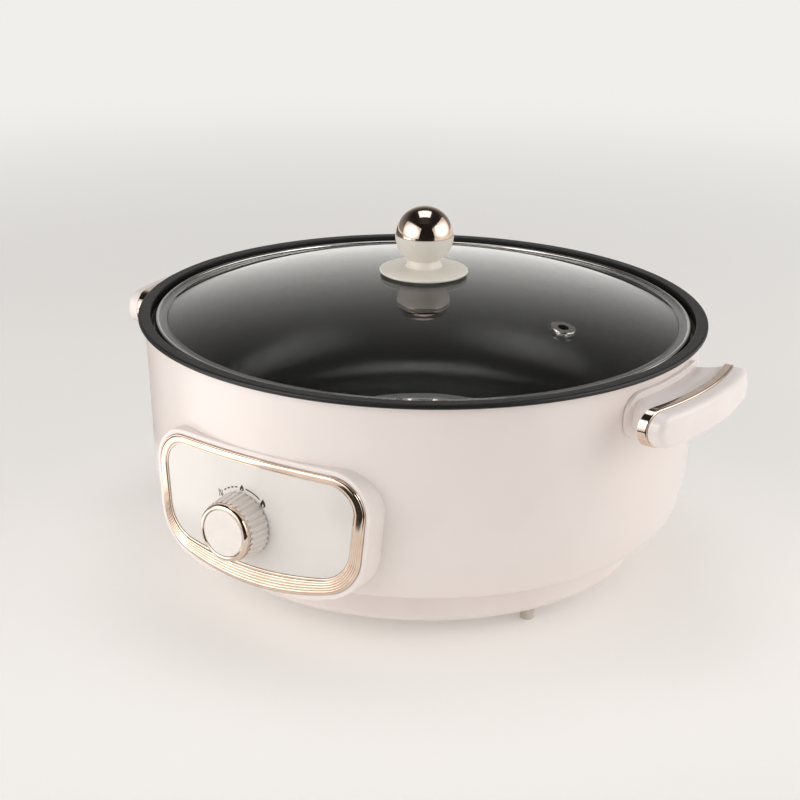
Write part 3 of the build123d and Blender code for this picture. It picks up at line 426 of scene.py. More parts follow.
handle_cream = layered(
    "moulded ABS, satin cream", "#F3EBE5", 0.34,
    tones=("#F2E9E5", "#F6EDEA", 22), glosses=(0.29, 0.4, 9), texture=(1.4, 0.004),
    IOR=1.5, Coat_Weight=0.2, Coat_Roughness=0.15)

base_cream = layered(
    "moulded polypropylene, fine matt cream", "#EFE5DC", 0.5,
    tones=("#F0E6E2", "#F4EBE7", 30), glosses=(0.42, 0.56, 6), texture=(0.5, 0.02), IOR=1.49)
print("cream finishes ready")

# %% [markdown]
# ## Panel and dial
# The face plate is a glossy moulding in a cooler, greyer ivory than the housing, under a clear
# coat that keeps its reflections crisp. The dial's fluted skirt and its front disc are a warm
# cream with a softer gloss, because fingers need a grip there.

# %% Panel and dial plastics
panel_ivory = layered(
    "moulded ABS, high gloss ivory", "#E4E0DC", 0.16,
    tones=("#E1DDD9", "#E5E1DD", 35), glosses=(0.13, 0.21, 12), texture=(3.0, 0.003),
    IOR=1.52, Coat_Weight=0.5, Coat_Roughness=0.06)

dial_cream = layered(
    "moulded ABS, dial cream", "#F0E9E3", 0.36,
    tones=("#EEE6E0", "#F3ECE7", 8), glosses=(0.3, 0.42, 3), texture=(0.6, 0.006),
    IOR=1.5, Coat_Weight=0.15, Coat_Roughness=0.2)
print("panel and dial finishes ready")

# %% [markdown]
# ## Rose gold plating
# The trims are plastic that has been copper-nickel plated and then tinted rose gold. The
# layer follows the moulding, so it is mirror smooth but not optically flat: reflections
# waver a little, and fine polishing haze dulls them in patches.

# %% Rose gold
rose_gold = layered(
    "vacuum plated ABS, rose gold", "#E8D3C1", 0.07,
    tones=("#DFC8B7", "#E7D4C5", 10), glosses=(0.04, 0.11, 5), texture=(7, 0.01), Metallic=1.0)
print("rose gold ready")

# %% [markdown]
# ## Non-stick coating
# The pan is cast aluminium, sprayed with a black non-stick coating and baked. The coating is
# a satin black with a very fine pebble, and carries mica flakes that catch the light. The rim
# and the ledge under it are rubbed by lids and cloths, so they are duller than the inside.

# %% Non-stick black
FLAKE_SIZE, FLAKE_SHARE = 0.7, 0.18
RIM_STARTS, RIM_DULLER = 147.5 * MM, 0.22

nonstick, tree, shader, place = new_finish(
    "sprayed non-stick coating on cast aluminium", "#171616", 0.25, IOR=1.45)
flake = add(tree, "ShaderNodeTexVoronoi", {"Scale": per_mm(FLAKE_SIZE)}, {"Vector": place})
spark = add(tree, "ShaderNodeMapRange",
            {"From Min": 0.0, "From Max": FLAKE_SHARE, "To Min": 1.0, "To Max": 0.0},
            {"Value": flake.outputs["Distance"]})
mix = add(tree, "ShaderNodeMix", {6: linear("#151414"), 7: linear("#34302D")},
          {0: spark.outputs["Result"]}, data_type="RGBA")
tree.links.new(mix.outputs[2], shader.inputs["Base Color"])
pan_gloss = gloss(tree, shader, place, 0.2, 0.265, 4)
depth = add(tree, "ShaderNodeSeparateXYZ", links={0: place})
on_rim = add(tree, "ShaderNodeMath", {1: RIM_STARTS}, {0: depth.outputs["Z"]},
             operation="GREATER_THAN")
rim_gloss = add(tree, "ShaderNodeMath", {1: RIM_DULLER},
                {0: on_rim.outputs[0], 2: pan_gloss.outputs["Result"]}, operation="MULTIPLY_ADD")
tree.links.new(rim_gloss.outputs[0], shader.inputs["Roughness"])
skin(tree, shader, place, 1.6, 0.006)
print("non-stick coating ready")

# %% [markdown]
# ## Glass of the lid
# The lid is clear soda-lime glass, pressed to a dome and tempered, with a trace of green.
# Lamps have to shine through it onto the pan, so the shader lets shadow rays pass instead of
# tracing them through the glass. Its surface wavers slightly, as pressed glass does.

# %% Glass
lid_glass, tree, shader, place = new_finish(
    "tempered soda-lime glass, clear", "#F8F9F7", 0.0, IOR=1.52, Transmission_Weight=1.0)
gloss(tree, shader, place, 0.0, 0.012, 40)
skin(tree, shader, place, 60, 0.03)
clear = add(tree, "ShaderNodeBsdfTransparent", {"Color": linear("#F1F3F1")})
ray = add(tree, "ShaderNodeLightPath")
through = add(tree, "ShaderNodeMixShader",
              links={0: ray.outputs["Is Shadow Ray"], 1: shader.outputs["BSDF"],
                     2: clear.outputs["BSDF"]})
tree.links.new(through.outputs[0], tree.nodes["Material Output"].inputs["Surface"])
print("glass ready")

# %% [markdown]
# ## Steel, knob and gasket of the lid
# The edge of the lid is a rolled stainless band, polished and a little scuffed. The knob is
# ivory phenolic under its plated cap, and sits on a soft ring of milky silicone.

# %% Lid steel, knob and gasket
lid_steel = layered(
    "rolled stainless steel, polished", "#C9C6C2", 0.16,
    tones=("#C3C0BC", "#CECBC7", 14), glosses=(0.1, 0.24, 3), texture=(1.2, 0.003), Metallic=1.0)

knob_ivory = layered(
    "moulded phenolic, satin ivory", "#E3DCD0", 0.38,
    tones=("#E7E1D6", "#ECE6DD", 12), glosses=(0.32, 0.45, 4), texture=(0.9, 0.006),
    IOR=1.5, Coat_Weight=0.1, Coat_Roughness=0.25)

silicone = layered(
    "moulded silicone, translucent", "#D9D6D0", 0.45,
    tones=("#D5D2CC", "#DEDBD6", 5), glosses=(0.4, 0.55, 2), texture=(0.4, 0.01),
    IOR=1.41, Transmission_Weight=0.3)
print("lid finishes ready")

# %% [markdown]
# ## Metals that are only seen from below or when the pot is taken apart
# They get the same care: zinc-plated screws, a sheathed element that has browned with heat,
# an aluminised steel shield with its spangle, posts with the marks of the lathe, and plated
# brass for the pins of the socket.

# %% Working metals
SPANGLE_SIZE, TOOL_MARK_SIZE, TOOL_MARK_DEPTH = 7, 1.2, 0.01

screw_steel = layered(
    "zinc plated steel, bright", "#B9BBBD", 0.28,
    tones=("#AEB0B3", "#C4C3BE", 1.5), glosses=(0.29, 0.4, 1), texture=(0.4, 0.006), Metallic=1.0)

element_steel = layered(
    "oxidised stainless sheath, drawn", "#5B534D", 0.48,
    tones=("#4A433F", "#6E6053", 7), glosses=(0.38, 0.6, 2), texture=(0.5, 0.015), Metallic=0.85)

shield_metal, tree, shader, place = new_finish(
    "aluminised steel, pressed", "#A9ABAA", 0.42, Metallic=1.0)
spangle = add(tree, "ShaderNodeTexVoronoi", {"Scale": per_mm(SPANGLE_SIZE)}, {"Vector": place})
dull = add(tree, "ShaderNodeMapRange", {"To Min": 0.34, "To Max": 0.52},
           {"Value": spangle.outputs["Distance"]})
tree.links.new(dull.outputs["Result"], shader.inputs["Roughness"])
tone(tree, shader, place, "#9FA2A2", "#B4B5B2", 9)
skin(tree, shader, place, 1.0, 0.008)

post_steel, tree, shader, place = new_finish("turned steel, oiled", "#8F9091", 0.32, Metallic=1.0)
tool_marks = add(tree, "ShaderNodeTexWave",
                 {"Scale": per_mm(TOOL_MARK_SIZE), "Distortion": 0.6},
                 {"Vector": place}, bands_direction="Z")
ridge = add(tree, "ShaderNodeBump", {"Strength": 0.5, "Distance": TOOL_MARK_DEPTH * MM},
            {"Height": tool_marks.outputs["Fac"]})
tree.links.new(ridge.outputs["Normal"], shader.inputs["Normal"])
tone(tree, shader, place, "#858789", "#9A9A98", 4)

contact_brass = layered(
    "nickel plated brass, blanked", "#C9BFA6", 0.25,
    tones=("#C2B79C", "#D2CAB6", 2), glosses=(0.15, 0.26, 1), texture=(0.3, 0.004), Metallic=1.0)
print("metals ready")

# %% [markdown]
# ## Socket and feet
# The socket is moulded in black phenolic, which doesn't soften beside hot pins. The feet are
# a pale soft rubber, dull all over, that grips a worktop and leaves no mark on it.

# %% Socket plastic and feet
socket_black = layered(
    "moulded phenolic, black", "#1D1C1C", 0.38,
    tones=("#1A1919", "#232121", 6), glosses=(0.3, 0.46, 2), texture=(0.5, 0.01), IOR=1.6)

foot_rubber = layered(
    "moulded thermoplastic rubber, pale grey", "#CCC5B9", 0.72,
    tones=("#C6BFB2", "#D2CBBF", 5), glosses=(0.62, 0.8, 1.5), texture=(0.6, 0.03), IOR=1.5)
print("socket and feet ready")

# %% [markdown]
# ## Dressing the CAD pieces
# The record gives each node a material slot. A node keeps its mesh and place, and only gets
# the finish that belongs to its slot.

# %% Assign finishes by slot
FINISHES = {
    "housing_cream": housing_cream, "handle_cream": handle_cream, "base_cream": base_cream,
    "rose_gold": rose_gold, "panel_ivory": panel_ivory, "dial_cream": dial_cream,
    "nonstick_black": nonstick, "lid_glass": lid_glass, "lid_steel": lid_steel,
    "knob_ivory": knob_ivory, "silicone_clear": silicone, "screw_steel": screw_steel,
    "foot_grey": foot_rubber, "element_steel": element_steel, "shield_aluminised": shield_metal,
    "post_steel": post_steel, "electrical_black": socket_black, "contact_brass": contact_brass,
}
slot_of = {part["node"]: part["material_slot"] for part in frame["record"]["subparts"]}
for name, obj in nodes.items():
    obj.data.materials.clear()
    obj.data.materials.append(FINISHES[slot_of[name]])
print("dressed", len(nodes), "pieces with", len(FINISHES), "finishes")

# %% [markdown]
# ## Turned pieces
# The knob's body, the lid's rolled edge, the dial's plated ring and the feet are round about an
# axis. Each profile is drawn point by point as on a lathe template, by extruding one vertex,
# and spun once round. They stand for CAD nodes that hold the same place in a plainer form.

# %% Selecting and facing
def alone(obj):
    """Makes one object the only selected one."""
    for other in bpy.context.selected_objects:
        other.select_set(False)
    obj.select_set(True)
    bpy.context.view_layer.objects.active = obj


def recalculate_outside(obj):
    """Turns all faces of a closed mesh outwards."""
    alone(obj)
    bpy.ops.object.mode_set(mode="EDIT")
    bpy.ops.mesh.select_all(action="SELECT")
    bpy.ops.mesh.normals_make_consistent(inside=False)
    bpy.ops.object.mode_set(mode="OBJECT")


# %% [markdown]
# ### Lathe
# The profile starts as a tiny plane merged to a single vertex, which is then extruded from
# point to point. After the spin the seam and the ends on the axis are merged, so that the
# piece is one closed skin, and its faces are turned outwards.

# %% Lathe
SEAM_MERGE = 0.002 * MM
TURNED_CREASE = math.radians(32)


def turned(name, profile, finish, steps=96, moved=Matrix.Identity(4)):
    """Spins a profile of (radius, height) points, in millimetres, about the upright axis."""
    last = profile[0]
    bpy.ops.mesh.primitive_plane_add(size=MM, location=(0, 0, 0))
    piece = bpy.context.object
    piece.name = piece.data.name = name
    alone(piece)
    bpy.ops.object.mode_set(mode="EDIT")
    bpy.ops.mesh.select_all(action="SELECT")
    bpy.ops.mesh.merge(type="CENTER")
    bpy.ops.transform.translate(value=(last[0] * MM, 0, last[1] * MM))
    for r, z in profile[1:]:
        bpy.ops.mesh.extrude_region_move(
            TRANSFORM_OT_translate={"value": ((r - last[0]) * MM, 0, (z - last[1]) * MM)})
        last = (r, z)
    bpy.ops.mesh.select_all(action="SELECT")
    bpy.ops.mesh.spin(steps=steps, angle=2 * math.pi, center=(0, 0, 0), axis=(0, 0, 1))
    bpy.ops.mesh.select_all(action="SELECT")
    bpy.ops.mesh.remove_doubles(threshold=SEAM_MERGE)
    bpy.ops.object.mode_set(mode="OBJECT")
    recalculate_outside(piece)
    piece.data.transform(moved)
    bpy.ops.object.shade_smooth_by_angle(angle=TURNED_CREASE)
    piece.data.materials.append(finish)
    return piece


def stands_for(piece, body, node):
    """Hangs a finished piece on its body and hides the CAD node that it stands for."""
    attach(piece, body)
    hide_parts(node)
    print(piece.name, len(piece.data.polygons), "faces")


# %% [markdown]
# ### Curves and heights of a profile
# The round stretches of a profile are oval arcs. Its heights are read from the CAD node that
# the piece stands for, so the new piece sits exactly where the plain one did.

# %% Curves and heights of a profile
def bend(centre, radii, first, last, steps):
    """Points along an oval arc, its angles in degrees from straight out."""
    angles = [math.radians(first + (last - first) * step / steps) for step in range(steps + 1)]
    return [(centre[0] + radii[0] * math.cos(a), centre[1] + radii[1] * math.sin(a))
            for a in angles]


def heights_of(node):
    """Lowest and highest point of a node, in millimetres."""
    box_low, box_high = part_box(node)
    return box_low[2] / MM, box_high[2] / MM


# %% [markdown]
# ### Knob body
# The knob is one phenolic moulding: a thin flange that covers the hole in the glass, a flared
# foot, a narrow neck for the fingertips, and an oval bowl that holds the plated cap. The neck
# meets the bowl in a crease, so each is drawn by itself.

# %% Knob body
FLANGE_R, FLANGE_EDGE, FLANGE_UNDER = 26.5, (1.0, 0.9), 0.6
NECK_R, CUP_R, BOWL_DEPTH, BOWL_STARTS = 9.3, 17.5, 18.1, -58
FOOT_AND_NECK = ((18, 2.6), (11.2, 3.5), (10.6, 4.4), (9.8, 5.8), (NECK_R, 7.2))
CUP_BORE_R, CUP_BORE_DEPTH = 15.1, 4

knob_foot, cup_edge = heights_of("lid_knob_base")
flange_turn = (FLANGE_R - FLANGE_EDGE[0], knob_foot + FLANGE_EDGE[1])
knob_profile = [(0, knob_foot), (FLANGE_R - FLANGE_UNDER, knob_foot)]
knob_profile += bend(flange_turn, FLANGE_EDGE, -60, 88, 8)
knob_profile += [(r, knob_foot + rise) for r, rise in FOOT_AND_NECK]
knob_profile += bend((0, cup_edge), (CUP_R, BOWL_DEPTH), BOWL_STARTS, 0, 16)
knob_profile += [(CUP_BORE_R, cup_edge), (CUP_BORE_R, cup_edge - CUP_BORE_DEPTH),
                 (0, cup_edge - CUP_BORE_DEPTH)]
stands_for(turned("knob_body", knob_profile, knob_ivory), "lid", "lid_knob_base")

# %% [markdown]
# ### Rolled edge of the lid
# A strip of stainless steel is rolled round the rim of the glass to protect it. From above it
# shows as a narrow bright bead, half round on top. Its underside is flat and sits on the pan.

# %% Rolled edge of the lid
BEAD_W, EDGE_BREAK = 2.5, 0.4

edge_low, edge_high = heights_of("lid_rim_band")
edge_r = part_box("lid_rim_band")[1][0] / MM
bead_centre = (edge_r - BEAD_W / 2, edge_high - BEAD_W / 2)
edge_profile = [(edge_r - BEAD_W, edge_low), (edge_r - EDGE_BREAK, edge_low),
                (edge_r, edge_low + EDGE_BREAK)]
edge_profile += bend(bead_centre, (BEAD_W / 2, BEAD_W / 2), 0, 180, 14)
edge_profile += [(edge_r - BEAD_W, edge_low)]
rolled_edge = turned("lid_rolled_edge", edge_profile, lid_steel, steps=180)
stands_for(rolled_edge, "lid", "lid_rim_band")

# %% [markdown]
# ### Plated ring of the dial
# The dial's front edge is a plated ring with a well rounded shoulder, which is why a dark
# crescent slides over it as the eye moves. It is turned upright like the others and then laid
# down, so that its axis becomes the dial's.

# %% Plated ring of the dial
DISC_BORE_R, BORE_SET_BACK = 13.75, 0.35
SHOULDER, SHOULDER_EASE = (2.2, 2.4), 0.2

ring_low, ring_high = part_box("dial_ring")
ring_r = (ring_high[0] - ring_low[0]) / 2 / MM
ring_long = (ring_high[1] - ring_low[1]) / MM
shoulder_turn = (ring_r - SHOULDER[0], ring_long - SHOULDER[1])
ring_profile = [(DISC_BORE_R, 0), (ring_r, 0), (ring_r, shoulder_turn[1] - SHOULDER_EASE)]
ring_profile += bend(shoulder_turn, SHOULDER, 0, 92, 14)[1:]
ring_profile += [(DISC_BORE_R, ring_long - BORE_SET_BACK), (DISC_BORE_R, 0)]
ring_centre = Vector(((ring_low[0] + ring_high[0]) / 2, ring_high[1],
                      (ring_low[2] + ring_high[2]) / 2))
laid_down = Matrix.Translation(ring_centre) @ Matrix.Rotation(math.radians(90), 4, "X")
plated_ring = turned("dial_plated_ring", ring_profile, rose_gold, moved=laid_down)
stands_for(plated_ring, "dial", "dial_ring")

# %% [markdown]
# ### Slim feet
# Four rubber feet are pushed through holes in the base cover. Each has a slim leg with a soft
# sole, a stem that fits the hole, and a cone that snaps in behind it. One foot is turned at
# each place, and the four are joined, because the drawing has them as one piece too.

# %% Slim feet
FOOT_R, FOOT_FLARE, SOLE_ROUND, SOLE_R = 4.0, 0.5, 0.8, 3.1
FOOT_CIRCLE, FOOT_TURN = 121.0, 65.0
STEM_R, CONE_R, CONE_H = 3.5, 5.0, 2.5

cover_low = heights_of("base_cover")[0]
stem_top = heights_of("foot_pads")[1]
foot_profile = [(0, 0), (SOLE_R, 0)]
foot_profile += bend((FOOT_R - SOLE_ROUND, SOLE_ROUND), (SOLE_ROUND, SOLE_ROUND), -80, 0, 6)
foot_profile += [(FOOT_R + FOOT_FLARE, cover_low), (STEM_R, cover_low),
                 (STEM_R, stem_top - CONE_H), (CONE_R, stem_top - CONE_H),
                 (STEM_R, stem_top), (0, stem_top)]
feet = []
for turn in (FOOT_TURN, 180 - FOOT_TURN, 180 + FOOT_TURN, 360 - FOOT_TURN):
    angle = math.radians(turn)
    spot = Vector((math.sin(angle), -math.cos(angle), 0)) * FOOT_CIRCLE * MM
    feet.append(turned("slim_feet", foot_profile, foot_rubber, 40, Matrix.Translation(spot)))
alone(feet[0])
for foot in feet:
    foot.select_set(True)
bpy.ops.object.join()
stands_for(feet[0], "pot", "foot_pads")

# %% [markdown]
# ## Finned bezel
# The plated frame is a rounded band between two thin lips. Towards the bottom it widens and
# parts into five fins that fade out up the sides, so its section changes all the way round and
# no single spin or bevel gives it. It is laid down as a grid instead: lines that run round the
# frame, from its outer edge to its window, each a little further in, and each point set as far
# back as the section says. The numbers are the frame's own sizes, in millimetres.

# %% Outline of the frame
BEZEL_WIDE, BEZEL_FOOT_WIDE, BEZEL_HIGH = 146.0, 134.0, 76.9
TOP_BAND, SIDE_BAND, FOOT_SIDE_BAND, BOTTOM_BAND = 5.2, 7.0, 6.5, 12.0
EDGE_SAG, EDGE_TOP_R, EDGE_FOOT_R = 13.3, 20, 27
WINDOW_SAG, WINDOW_TOP_R, WINDOW_FOOT_R = 7.3, 15, 20
ACROSS_TOP, ROUND_TOP, DOWN_SIDE, ROUND_FOOT, ALONG_SAG = 16, 14, 14, 18, 22


def between(first, last, share):
    """The value at this share of the way from first to last."""
    return first + (last - first) * share


def stretch(start, end, count):
    """Evenly spaced points from start towards end, without the end itself."""
    return [start.lerp(end, step / count) for step in range(count)]


def arc_points(centre, radius, start, end, count):
    """Points on an arc about this centre from start to end, without the end itself."""
    first = math.atan2(start.y - centre.y, start.x - centre.x)
    last = math.atan2(end.y - centre.y, end.x - centre.x)
    angles = [between(first, last, step / count) for step in range(count)]
    return [centre + Vector((math.cos(a), math.sin(a))) * radius for a in angles]


def frame_line(share):
    """Points round the frame at a share of its width, 0 at its outer edge and 1 at the window."""
    top, low = -share * TOP_BAND, -BEZEL_HIGH + share * BOTTOM_BAND
    sag = between(EDGE_SAG, WINDOW_SAG, share)
    top_r = between(EDGE_TOP_R, WINDOW_TOP_R, share)
    foot_r = between(EDGE_FOOT_R, WINDOW_FOOT_R, share)
    # The side runs from the top corner down to the foot corner, leaning in a little.
    corner = Vector((BEZEL_WIDE / 2 - share * SIDE_BAND, top))
    foot = Vector((BEZEL_FOOT_WIDE / 2 - share * FOOT_SIDE_BAND, low + sag))
    down = (foot - corner).normalized()
    inside = Vector((down.y, -down.x))
    # The bottom edge is an arc through both foot corners that sags by this much.
    sag_r = (foot.x**2 + sag**2) / (2 * sag)
    sag_centre = Vector((0, low + sag_r))
    # Each corner is an arc that touches both of the lines it joins.
    run = (-top_r - inside.y * top_r) / down.y
    top_centre = corner + down * run + inside * top_r
    offset = corner + inside * foot_r - sag_centre
    along = offset.dot(down)
    reach = -along + math.sqrt(along**2 - offset.length_squared + (sag_r - foot_r) ** 2)
    foot_centre = corner + inside * foot_r + down * reach
    on_sag = sag_centre + (foot_centre - sag_centre).normalized() * sag_r
    crown, lowest = Vector((0, top)), Vector((0, low))
    over = Vector((top_centre.x, top))
    side_top, side_foot = top_centre - inside * top_r, foot_centre - inside * foot_r
    half_line = stretch(crown, over, ACROSS_TOP)
    half_line += arc_points(top_centre, top_r, over, side_top, ROUND_TOP)
    half_line += stretch(side_top, side_foot, DOWN_SIDE)
    half_line += arc_points(foot_centre, foot_r, side_foot, on_sag, ROUND_FOOT)
    half_line += arc_points(sag_centre, sag_r, on_sag, lowest, ALONG_SAG) + [lowest]
    return half_line + [Vector((-point.x, point.y)) for point in reversed(half_line[1:-1])]


print("outline of", len(frame_line(0)), "points")

# %% [markdown]
# ### Section of the frame
# Seen across, the band is a flattened arch that falls to a thin lip on each side, and the far
# edge of each lip is rounded back. Where the fins are, narrow valleys cut the arch into five
# ridges. How deep they cut is a smooth ramp down the height of the frame, so that the fins run
# out by themselves on the way up the sides.

# %% Section of the frame
LIP, LIP_BACK, LIP_EDGE, LIP_ROUND = 0.13, 0.85, 0.05, 0.5
ARCH_DEEP, ARCH_POWER = 0.8, 2.6
FIN_COUNT, FIN_DEEP, FIN_RUNOUT, FIN_FULL, VALLEY_POWER = 5, 0.55, 26.0, 22, 0.45


def set_back(share, fins):
    """How far behind the front the frame's skin lies, with fins from 0 to 1."""
    edge = min(share, 1 - share)
    if edge < LIP:
        return LIP_BACK + LIP_ROUND * max(0, 1 - edge / LIP_EDGE) ** 2
    across = (share - LIP) / (1 - 2 * LIP)
    arch = ARCH_DEEP * (1 - (1 - abs(2 * across - 1) ** ARCH_POWER) ** 0.5)
    valley = 1 - abs(math.sin(FIN_COUNT * math.pi * across)) ** VALLEY_POWER
    return arch * (1 - 0.5 * fins) + FIN_DEEP * fins * valley


def fins_at(drop):
    """How much of the fins' depth there is at this drop below the frame's top."""
    ramp = min(1, max(0, (drop - FIN_RUNOUT) / (BEZEL_HIGH - FIN_RUNOUT - FIN_FULL)))
    return ramp * ramp * (3 - 2 * ramp)


deepest = max(set_back(step / 100, fins=1) for step in range(100))
print("the skin dips", round(deepest, 2), "mm at most where the fins are deep")

# %% [markdown]
# ### The frame itself
# The lines are laid from the outer lip over the band to the inner lip, then back along the
# underside, and neighbouring lines are joined by four-sided faces into one closed ring. Every
# point also follows the bow of the face plate.

# %% The frame itself
BOW_RADIUS, FRAME_BACK, BAND_LINES = 400.0, 2.5, 50
LIP_LINES = (0, 0.012, 0.025, 0.05, 0.09, 0.128)
BAND_STARTS = 0.132
FRAME_CREASE = math.radians(40)

bezel_low, bezel_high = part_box("control_bezel")
front, crest = bezel_low[1] / MM, bezel_high[2] / MM
shares = list(LIP_LINES)
shares += [between(BAND_STARTS, 1 - BAND_STARTS, line / BAND_LINES)
           for line in range(BAND_LINES + 1)]
shares += [1 - share for share in reversed(LIP_LINES)]
lines = [(share, False) for share in shares] + [(1.0, True), (0.0, True)]

points = []
for share, underside in lines:
    for point in frame_line(share):
        depth = FRAME_BACK if underside else set_back(share, fins_at(-point.y))
        bow = BOW_RADIUS - math.sqrt(BOW_RADIUS**2 - point.x**2)
        points.append((point.x * MM, (front + bow + depth) * MM, (crest + point.y) * MM))
around = len(points) // len(lines)
faces = []
for line in range(len(lines)):
    here, after = line * around, (line + 1) % len(lines) * around
    for i in range(around):
        beside = (i + 1) % around
        faces.append((here + i, here + beside, after + beside, after + i))

mesh = bpy.data.meshes.new("finned_bezel")
mesh.from_pydata(points, [], faces)
finned_bezel = bpy.data.objects.new("finned_bezel", mesh)
bpy.context.scene.collection.objects.link(finned_bezel)
recalculate_outside(finned_bezel)
bpy.ops.object.shade_smooth_by_angle(angle=FRAME_CREASE)
mesh.materials.append(rose_gold)
stands_for(finned_bezel, "pot", "control_bezel")

# %% [markdown]
# ## Printed heat marks
# Pad-printed ink is a film of a few hundredths of a millimetre at most, and follows the bowed
# face plate. Each mark is drawn flat, as it would be on the printing plate, in
# millimetres. It is then carried to the face plate, wrapped onto it with Shrinkwrap, and given
# its thickness with Solidify. The film reaches a little into the plate, so it never floats.

# %% Ink, drawing plane and the way onto the plate
heat_ink = layered(
    "pad printed ink, dark brown", "#3A2620", 0.5,
    tones=("#342019", "#432C25", 1.5), glosses=(0.42, 0.58, 0.8), texture=(0.3, 0.01), IOR=1.5)

MARK_RADIUS, INK_STROKE, BEFORE_PLATE = 21.2, 0.7, 0.3
INK_FILM, FILM_ROOT = 0.05, 0.01
dial_joint = next(joint for joint in frame["joints"] if joint["name"] == "dial_turn")
inward = Vector(dial_joint["axis"]).normalized()
side = Vector((1, 0, 0))
plate_up = side.cross(inward).normalized()


def drawing_place(turn_degrees, radius=MARK_RADIUS):
    """The flat drawing, in millimetres, set on the plate at this angle right of straight up."""
    angle = math.radians(turn_degrees)
    spot = side * math.sin(angle) * radius + plate_up * math.cos(angle) * radius
    spot -= inward * BEFORE_PLATE
    facing_out = Matrix((side, plate_up, -inward)).transposed().to_4x4()
    here = Matrix.Translation(Vector(dial_joint["pos_m"]) + spot * MM)
    return here @ facing_out @ Matrix.Scale(MM, 4)


def print_on_plate(mark, name, place_matrix):
    """Lays a flat drawing on the face plate and gives the ink its thickness."""
    mark.name = mark.data.name = name
    mark.data.transform(place_matrix)
    alone(mark)
    wrap = mark.modifiers.new("follow the plate", "SHRINKWRAP")
    wrap.target = nodes["control_panel"]
    wrap.wrap_method = "NEAREST_SURFACEPOINT"
    wrap.wrap_mode = "ABOVE_SURFACE"
    wrap.offset = INK_FILM * MM
    film = mark.modifiers.new("ink film", "SOLIDIFY")
    film.thickness = (INK_FILM + FILM_ROOT) * MM
    film.offset = -1
    for modifier in (wrap.name, film.name):
        bpy.ops.object.modifier_apply(modifier=modifier)
    recalculate_outside(mark)
    mark.data.materials.clear()
    mark.data.materials.append(heat_ink)
    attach(mark, "pot")


# %% [markdown]
# ### Arcs and dashes
# An arc or a dash starts as one short edge across the stroke. Spinning that edge about the
# dial's axis sweeps out the stroke, as the pen of a compass would.

# %% Arcs and dashes
ARC_STARTS, ARC_SWEEP = 7, 28
DASH_STARTS, DASH_SWEEP, DASH_STROKE = (-37.2, -29.3, -21.4, -13.5), 4.6, 0.75


def swept_stroke(start, sweep, stroke=INK_STROKE):
    """A flat arc, from start degrees right of straight up, about the dial's axis."""
    bpy.ops.mesh.primitive_plane_add(size=stroke, location=(0, MARK_RADIUS, 0))
    bar = bpy.context.object
    bpy.ops.object.transform_apply(location=True)
    bpy.ops.object.mode_set(mode="EDIT")
    bpy.ops.mesh.select_all(action="SELECT")
    bpy.ops.mesh.merge(type="CENTER")
    bpy.ops.mesh.extrude_region_move(TRANSFORM_OT_translate={"value": (0, stroke, 0)})
    bpy.ops.mesh.select_all(action="SELECT")
    bpy.ops.transform.translate(value=(0, -stroke / 2, 0))
    bpy.ops.transform.rotate(value=math.radians(start), orient_axis="Z",
                             center_override=(0, 0, 0))
    bpy.ops.mesh.spin(steps=max(4, round(sweep * 1.2)), angle=math.radians(sweep),
                      center=(0, 0, 0), axis=(0, 0, 1))
    bpy.ops.object.mode_set(mode="OBJECT")
    return bar


axis_place = drawing_place(0, 0)
print_on_plate(swept_stroke(ARC_STARTS, ARC_SWEEP), "mark_heat_arc", axis_place)
for number, start in enumerate(DASH_STARTS, 1):
    dash = swept_stroke(start, DASH_SWEEP, DASH_STROKE)
    print_on_plate(dash, f"mark_low_dash_{number}", axis_place)
print("arc and", len(DASH_STARTS), "dashes printed")


# %% [markdown]
# ### Flames
# A flame is a closed Bezier outline with a drop cut from its foot. A flat curve with two
# outlines fills only between them, so the pair is joined and then turned into a mesh.

# %% Flames
FLAME_PLUMP, TIP_LEAN = 0.72, 0.02
CORE_PLUMP, CORE_TALL, CORE_FOOT = 0.24, 0.34, -0.42


def drop_outline(wide, tall, foot, lean):
    """A flame outline with a sharp tip, its belly low and its foot at this height."""
    bpy.ops.curve.primitive_bezier_circle_add(radius=1, location=(0, 0, 0))
    outline = bpy.context.object
    outline.data.dimensions = "2D"
    outline.data.fill_mode = "BOTH"
    outline.data.resolution_u = outline.data.render_resolution_u = 8
    left_belly, tip, right_belly, bottom = outline.data.splines[0].bezier_points
    belly = foot + tall * 0.32
    # Each row has a point, its place, and its left and right handle as steps from there.
    shape = ((left_belly, (-wide / 2, belly), (0, -tall * 0.2), (0, tall * 0.22)),
             (tip, (lean, foot + tall), (-wide * 0.1, -tall * 0.22), (wide * 0.22, -tall * 0.24)),
             (right_belly, (wide / 2, belly), (0, tall * 0.2), (0, -tall * 0.2)),
             (bottom, (0, foot), (wide * 0.28, 0), (-wide * 0.28, 0)))
    for point, (x, y), (lx, ly), (rx, ry) in shape:
        point.handle_left_type = point.handle_right_type = "FREE"
        point.co = (x, y, 0)
        point.handle_left = (x + lx, y + ly, 0)
        point.handle_right = (x + rx, y + ry, 0)
    return outline


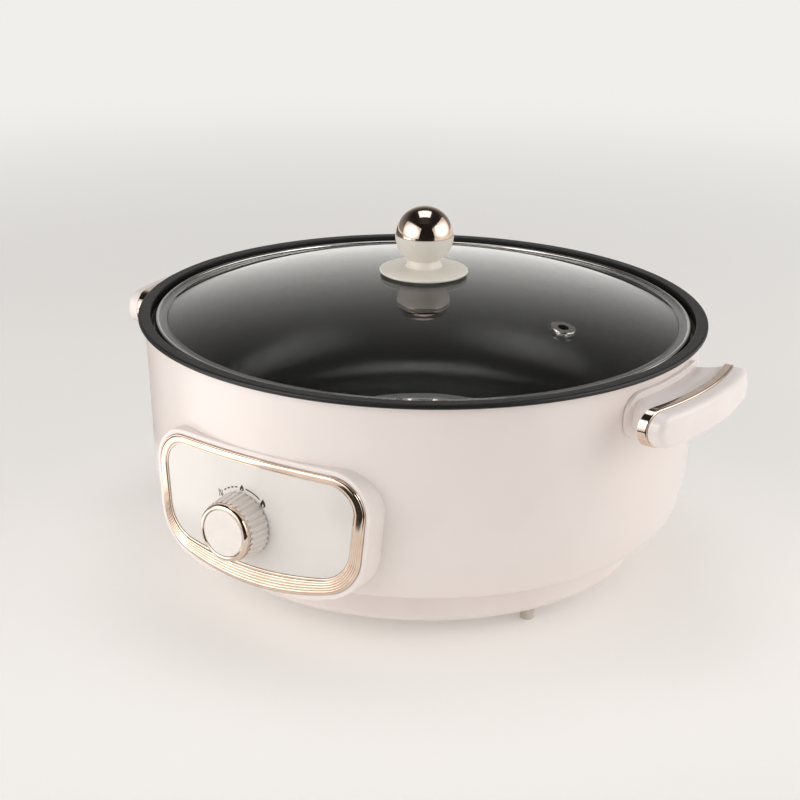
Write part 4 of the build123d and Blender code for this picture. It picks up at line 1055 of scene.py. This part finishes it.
def flame(name, tall, turn_degrees):
    """A printed flame this many millimetres tall."""
    outer = drop_outline(tall * FLAME_PLUMP, tall, -tall / 2, tall * TIP_LEAN)
    core = drop_outline(tall * CORE_PLUMP, tall * CORE_TALL, tall * CORE_FOOT, 0)
    alone(outer)
    core.select_set(True)
    bpy.ops.object.join()
    bpy.ops.object.convert(target="MESH")
    print_on_plate(bpy.context.object, name, drawing_place(turn_degrees))


flame("mark_small_flame", tall=3.9, turn_degrees=-0.5)
flame("mark_large_flame", tall=5.0, turn_degrees=42.5)
print("two flames printed")


# %% [markdown]
# ### Keep-warm sign
# Three rising waves stand for gentle heat. Each is a stroke grown upwards by extruding one
# short edge, a little to the left or right each time. A slanting bar crosses them.

# %% Keep-warm waves
WAVE_PLACES, WAVE_TALL, WAVE_SWAY = (-1.2, 0.0, 1.2), 3.6, 0.28
WAVE_STROKE, WAVE_STEPS = 0.45, 10
BAR_FOOT, BAR_TALL, BAR_LEAN, SIGN_TURN = 1.9, 4.2, -3.6, -47


def rising_stroke(x, tall, sway, lean=0.0):
    """A flat stroke from the bottom up that sways left and right as it climbs."""
    bottom = -tall / 2
    bpy.ops.mesh.primitive_plane_add(size=WAVE_STROKE, location=(x, bottom, 0))
    wave = bpy.context.object
    bpy.ops.object.transform_apply(location=True)
    bpy.ops.object.mode_set(mode="EDIT")
    bpy.ops.mesh.select_all(action="DESELECT")
    bpy.ops.object.mode_set(mode="OBJECT")
    for vertex in wave.data.vertices:
        vertex.select = vertex.co.y > bottom
    for edge in wave.data.edges:
        edge.select = all(wave.data.vertices[v].co.y > bottom for v in edge.vertices)
    bpy.ops.object.mode_set(mode="EDIT")
    rise = (tall - WAVE_STROKE / 2) / WAVE_STEPS
    turns = [math.sin(2 * math.pi * step / WAVE_STEPS) for step in range(WAVE_STEPS + 1)]
    for before, after in zip(turns, turns[1:]):
        across = sway * (after - before) + lean / WAVE_STEPS
        bpy.ops.mesh.extrude_region_move(TRANSFORM_OT_translate={"value": (across, rise, 0)})
    bpy.ops.object.mode_set(mode="OBJECT")
    return wave


waves = [rising_stroke(x, WAVE_TALL, WAVE_SWAY) for x in WAVE_PLACES]
waves.append(rising_stroke(BAR_FOOT, BAR_TALL, 0.0, BAR_LEAN))
for number, wave in enumerate(waves, 1):
    print_on_plate(wave, f"mark_keep_warm_{number}", drawing_place(SIGN_TURN))
print("keep-warm sign printed")
